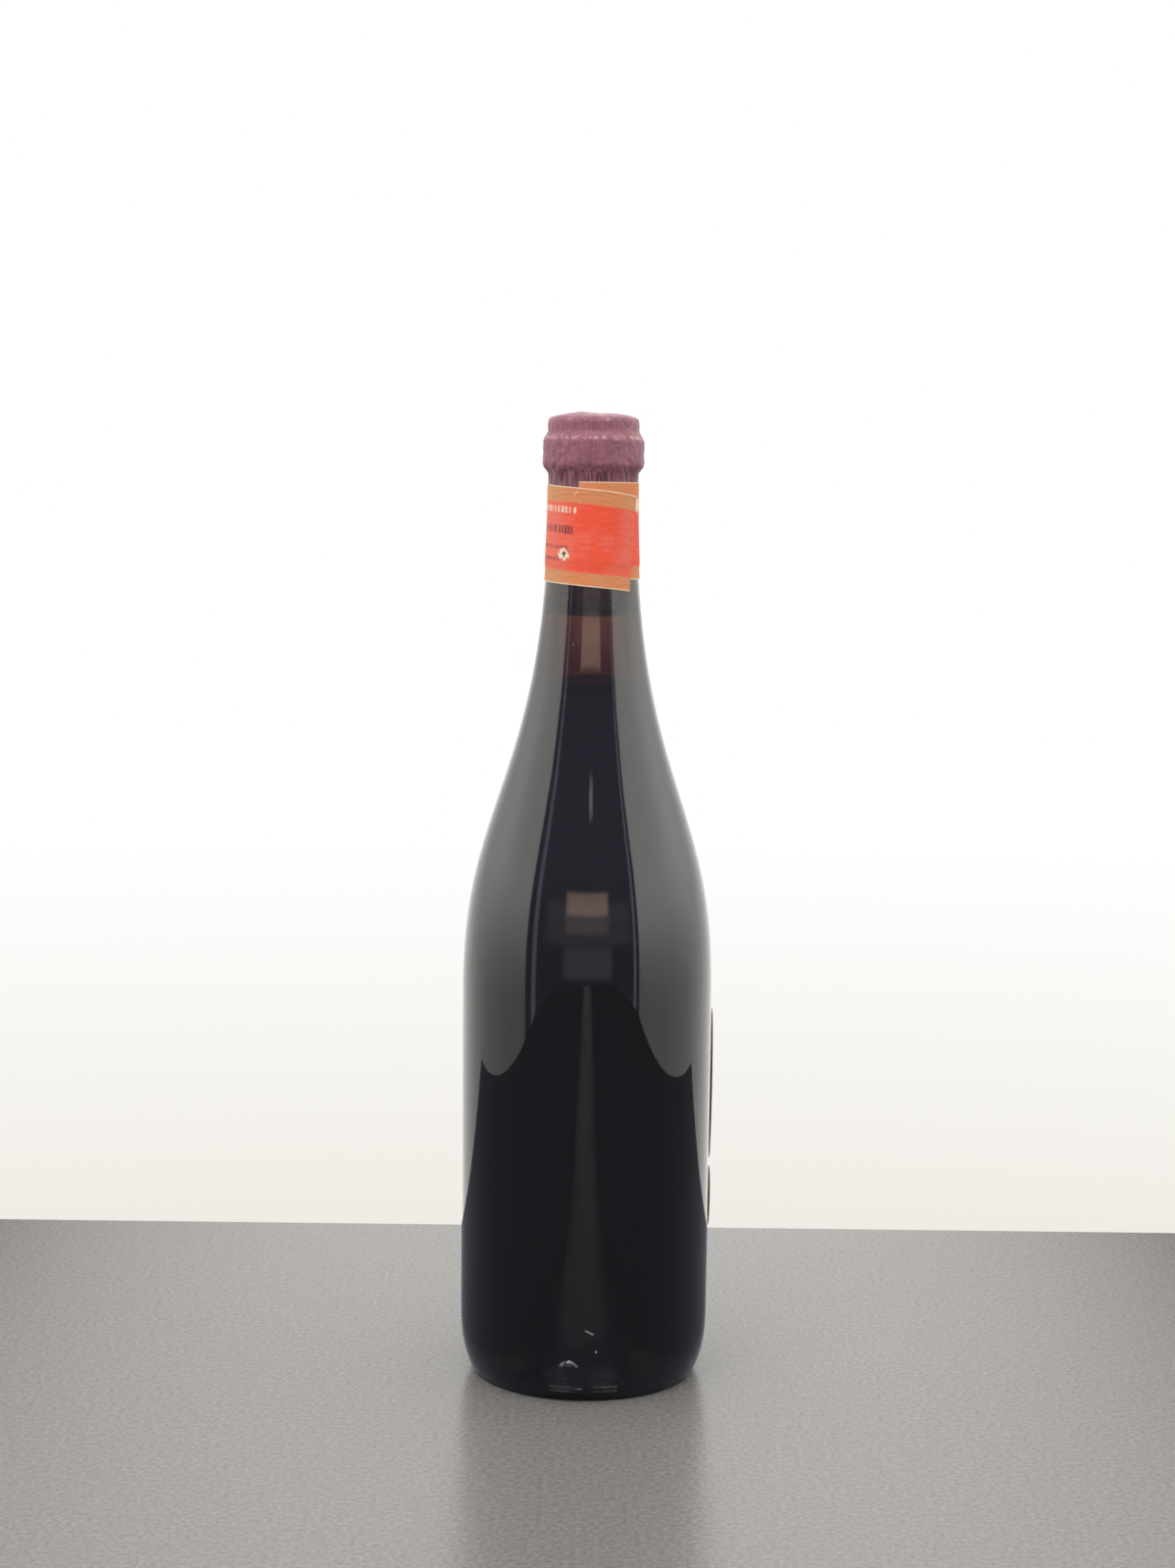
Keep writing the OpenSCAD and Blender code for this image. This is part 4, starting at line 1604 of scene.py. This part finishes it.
@dataclass
class DustSpecks:
    """A few flakes of dust that cling to the shoulder and the neck."""

    density: float = 2600.0
    low: float = 128.0
    high: float = 252.0
    flake: float = 0.16

    def build(self, bottle: bpy.types.Object) -> list[bpy.types.Object]:
        """Scatter the flakes on the bottle's outside.

        Args:
            bottle: the glass.

        Returns:
            The flakes as one piece.
        """
        tree, given = start_tree("Settled dust", {"Glass": "Geometry", "Density": "Float", "Low": "Float",
                                                  "High": "Float", "Flake": "Float"}, "Dust")
        place = add_node(tree, "GeometryNodeInputPosition")
        height = add_node(tree, SPLIT, None, {0: place}).outputs["Z"]
        above = add_node(tree, MATH, GREATER_THAN, {0: height, 1: given.outputs["Low"]})
        below = add_node(tree, MATH, LESS_THAN, {0: height, 1: given.outputs["High"]})
        level = add_node(tree, VECTOR, MULTIPLY, {0: place, 1: (1.0, 1.0, 0.0)})
        faces = add_node(tree, VECTOR, {"operation": "DOT_PRODUCT"},
                         {0: level, 1: add_node(tree, "GeometryNodeInputNormal")}).outputs["Value"]
        outside = add_node(tree, MATH, GREATER_THAN, {0: faces, 1: 0.0})
        share = add_node(tree, MATH, MULTIPLY, {0: above, 1: below})
        share = add_node(tree, MATH, MULTIPLY, {0: share, 1: outside})
        dense = add_node(tree, MATH, MULTIPLY, {0: share, 1: given.outputs["Density"]})
        points = add_node(tree, "GeometryNodeDistributePointsOnFaces", {"distribute_method": "RANDOM"},
                          {"Mesh": given.outputs["Glass"], "Density": dense, "Seed": SEED})
        flake = add_node(tree, "GeometryNodeMeshIcoSphere", None, {"Radius": 1.0, "Subdivisions": 1})
        size = add_node(tree, "FunctionNodeRandomValue", {"data_type": "FLOAT_VECTOR"},
                        {"Min": (0.3, 0.3, 0.25), "Max": (1.0, 1.6, 0.5), "Seed": SEED})
        size = add_node(tree, VECTOR, {"operation": "SCALE"}, {0: size, "Scale": given.outputs["Flake"]})
        flakes = add_node(tree, "GeometryNodeInstanceOnPoints", None, {
            "Points": points, "Instance": flake, "Rotation": points.outputs["Rotation"], "Scale": size})
        real = add_node(tree, "GeometryNodeRealizeInstances", None, {0: flakes})
        dressed = add_node(tree, "GeometryNodeSetMaterial", None, {0: real, "Material": HouseDust().build()})
        add_node(tree, "NodeGroupOutput", None, {"Dust": dressed})
        values = {"Density": self.density, "Low": self.low * MM, "High": self.high * MM,
                  "Flake": self.flake * MM}
        return [fit(grown("dust_specks", bottle.data.copy(), tree, values), Slot.GLASS)]


# ---------------------------------------------------------------- studio


@dataclass(frozen=True)
class Lamp:
    """A soft panel that only gloss meets.

    Its turn from the front, half width and blur are in degrees. Its height and half height are those of
    a direction one long, and its power and tone are what it adds to the room's radiance.
    """

    az: float
    z: float
    half_w: float
    half_h: float
    blur: float
    power: float
    tone: tuple[float, float, float] = (0.95, 0.93, 1.1)


@dataclass
class Studio:
    """The table, the light and the camera."""

    camera_at: tuple[float, float, float] = (-0.67, -836.6, 280.3)
    pitch: float = 6.15
    roll: float = 0.68
    lens: float = 60.75
    table_half_w: float = 480.0
    table_back: float = 165.0
    table_front: float = 1200.0
    table_t: float = 30.0
    dark_left: float = -58.0
    dark_right: float = 48.0
    dark_soft: float = 1.5
    wall_low: str = "#eeeae2"
    wall_high: str = "#ffffff"
    softbox_at: tuple[float, float, float] = (-0.75, -1.1, 1.25)
    softbox_aim: tuple[float, float, float] = (0.0, 0.0, 0.2)
    softbox_size: tuple[float, float] = (0.9, 0.7)
    softbox_power: float = 5.0
    lamps: tuple[Lamp, ...] = (
        Lamp(-1.0, 0.22, 20.0, 0.05, 5.0, 1.6, (1.3, 0.88, 0.66)),
        Lamp(-1.0, 0.13, 20.0, 0.04, 5.0, 0.4, (1.2, 0.95, 0.8)),
        Lamp(0.0, -0.03, 22.0, 0.06, 6.0, 0.35),
        Lamp(0.0, 0.13, 40.0, 0.09, 8.0, 0.2, (1.1, 0.97, 0.9)),
        Lamp(2.0, 0.525, 2.4, 0.03, 1.5, 2.4, (1.0, 1.0, 1.0)),
        Lamp(44.0, 0.1, 1.4, 0.5, 1.0, 0.9),
        Lamp(-50.0, 0.15, 2.2, 0.45, 1.5, 0.8),
        Lamp(-22.0, 0.72, 14.0, 0.16, 5.0, 14.0),
        Lamp(18.0, 0.72, 14.0, 0.16, 5.0, 14.0))

    def build(self) -> None:
        """Build the table, the light and the camera."""
        self.table()
        self.light()
        self.camera()

    def camera(self) -> None:
        """Create the camera and make it the scene's."""
        data = bpy.data.cameras.new("Camera")
        data.lens, data.sensor_width = self.lens, 36.0
        data.clip_start, data.clip_end = 0.01, 50.0
        camera = in_scene("Camera", data)
        turned = Matrix.Rotation(math.radians(90 - self.pitch), 4, "X") @ Matrix.Rotation(
            math.radians(self.roll), 4, "Z")
        camera.matrix_world = Matrix.Translation([v * MM for v in self.camera_at]) @ turned
        bpy.context.scene.camera = camera

    def table(self) -> None:
        """Make the table top, which isn't part of the object."""
        w, back, front, t = (v * MM for v in (self.table_half_w, self.table_back, self.table_front,
                                              self.table_t))
        sides = ((-w, -front), (w, -front), (w, back), (-w, back))
        corners = [(x, y, z) for z in (-t, 0.0) for x, y in sides]
        faces = [(4, 5, 6, 7), (3, 2, 1, 0), (0, 1, 5, 4), (1, 2, 6, 5), (2, 3, 7, 6), (3, 0, 4, 7)]
        mesh = bpy.data.meshes.new("table_top")
        mesh.from_pydata(corners, [], faces)
        mesh.materials.append(TableTop().build())
        table = in_scene("table_top", mesh)

    def light(self) -> None:
        """Make the room: a pale wall all round, bright panels at the sides and a dim front for the gloss."""
        world = bpy.data.worlds.new("Studio")
        bpy.context.scene.world = world
        bpy.context.scene.view_settings.view_transform = "Standard"
        world.use_nodes = True
        tree = world.node_tree
        tree.nodes.clear()
        way = add_node(tree, SPLIT, None, {0: add_node(tree, COORDINATES).outputs["Generated"]})
        # What the eye and soft light meet: a white wall, a little greyer towards the table
        wall = add_node(tree, RANGE, None, {0: way.outputs["Z"], 1: -0.28, 2: -0.13, 3: 0.0, 4: 1.0})
        wall = add_node(tree, BLEND, COLOUR, {0: wall, 6: linear(self.wall_low),
                                              7: linear(self.wall_high)}).outputs[2]
        # What the gloss meets: the angle from the front, turning to the right
        ahead = add_node(tree, MATH, MULTIPLY, {0: way.outputs["Y"], 1: -1.0})
        turn = add_node(tree, MATH, {"operation": "ARCTAN2"}, {0: way.outputs["X"], 1: ahead})
        left, right = math.radians(self.dark_left), math.radians(self.dark_right)
        soft = math.radians(self.dark_soft)
        past_left = add_node(tree, RANGE, EASED, {0: turn, 1: left - soft, 2: left + soft, 3: 1.0, 4: 0.0})
        past_right = add_node(tree, RANGE, EASED, {0: turn, 1: right - soft, 2: right + soft, 3: 0.0, 4: 1.0})
        lit = add_node(tree, MATH, MAXIMUM, {0: past_left, 1: past_right})
        roof = add_node(tree, RANGE, EASED, {0: way.outputs["Z"], 1: 0.84, 2: 0.93, 3: 0.0, 4: 0.45})
        lit = add_node(tree, MATH, MAXIMUM, {0: lit, 1: roof})
        wide = add_node(tree, MATH, ABSOLUTE, {0: turn})
        beside = add_node(tree, RANGE, EASED, {0: way.outputs["Z"], 1: -0.22, 2: 0.25, 3: 1.2, 4: 3.05})
        above = add_node(tree, RANGE, None, {0: way.outputs["Z"], 1: 0.26, 2: 0.36, 3: 1.45, 4: 2.6})
        behind = add_node(tree, RANGE, EASED, {0: wide, 1: math.radians(100), 2: math.radians(140)})
        strength = add_node(tree, BLEND, None, {0: behind, 2: beside, 3: above}).outputs[0]
        dim = add_node(tree, RANGE, EASED, {0: way.outputs["Z"], 1: -0.15, 2: 0.45, 3: 0.34, 4: 0.5})
        # The room's left is a little duller than its right
        even = add_node(tree, RANGE, EASED, {0: turn, 1: math.radians(-60), 2: math.radians(60),
                                             3: 0.93, 4: 1.03})
        strength = add_node(tree, MATH, MULTIPLY, {0: strength, 1: even})
        level = add_node(tree, MATH, MULTIPLY, {0: lit, 1: strength})
        level = add_node(tree, MATH, MAXIMUM, {0: level, 1: dim})
        tone = add_node(tree, BLEND, COLOUR, {0: lit, 6: (0.9, 0.86, 1.2, 1.0), 7: (1.0, 0.99, 0.965, 1.0)})
        gloss = add_node(tree, VECTOR, {"operation": "SCALE"}, {0: tone.outputs[2], "Scale": level})
        for lamp in self.lamps:
            side = stripe(tree, EASED, turn, math.radians(lamp.az), (
                math.radians(lamp.half_w - lamp.blur / 2), math.radians(lamp.half_w + lamp.blur / 2),
                lamp.power, 0.0))
            tall = stripe(tree, EASED, way.outputs["Z"], lamp.z, (
                lamp.half_h - 0.015, lamp.half_h + 0.015, 1.0, 0.0))
            share = add_node(tree, MATH, MULTIPLY, {0: side, 1: tall})
            gloss = add_node(tree, VECTOR, MULTIPLY_ADD, {0: share, 1: lamp.tone, 2: gloss})
        path = add_node(tree, "ShaderNodeLightPath")
        ray = add_node(tree, MATH, {"operation": "SUBTRACT", "use_clamp": True}, {
            0: path.outputs["Is Glossy Ray"], 1: path.outputs["Is Transmission Ray"]})
        colour = add_node(tree, BLEND, COLOUR, {0: ray, 6: wall, 7: gloss})
        shade = add_node(tree, "ShaderNodeBackground", None, {"Color": colour.outputs[2], "Strength": 1.0})
        add_node(tree, "ShaderNodeOutputWorld", None, {"Surface": shade})
        # One large soft lamp gives the paper and the foil a little form
        lamp = bpy.data.lights.new("Softbox", "AREA")
        lamp.shape, lamp.energy = "RECTANGLE", self.softbox_power
        lamp.size, lamp.size_y = self.softbox_size
        holder = in_scene("Softbox", lamp)
        place = Vector(self.softbox_at)
        aim = (Vector(self.softbox_aim) - place).to_track_quat("-Z", "Y").to_matrix().to_4x4()
        holder.matrix_world = Matrix.Translation(place) @ aim
        holder.visible_glossy = False


# ---------------------------------------------------------------- the whole


def labels(form: BottleForm) -> list[BodyLabel]:
    """Return the two body labels.

    Args:
        form: the bottle's form.

    Returns:
        The main label and the lower one.
    """
    length = math.radians(BodyLabel.angle) * (form.body_d / 2)
    lower = LabelPaper(name="lower_label_paper_aged", size=(length, 19.3), field_rows=(),
                       print_rows=((13.4, 0.8, 2.4), (9.6, 0.8, 2.1), (6.4, 0.45, 1.3)))
    return [BodyLabel("paper_main_label", "front_label", 69.5, 118.0, LabelPaper(size=(length, 48.5))),
            BodyLabel("paper_lower_label", "lower_label", 47.3, 66.6, lower)]


def main() -> None:
    """Build the bottle piece by piece, then the studio."""
    logging.basicConfig(level=logging.INFO, format="%(name)s: %(message)s")
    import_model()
    form = BottleForm()
    glass = GlassBottle(form).build()
    Contents(form).build()
    FoilCapsule(form).build()
    NeckBand(form).build()
    for label in labels(form):
        label.build()
    DustSpecks().build(glass[0])
    Studio().build()


if __name__ == "__main__":
    main()
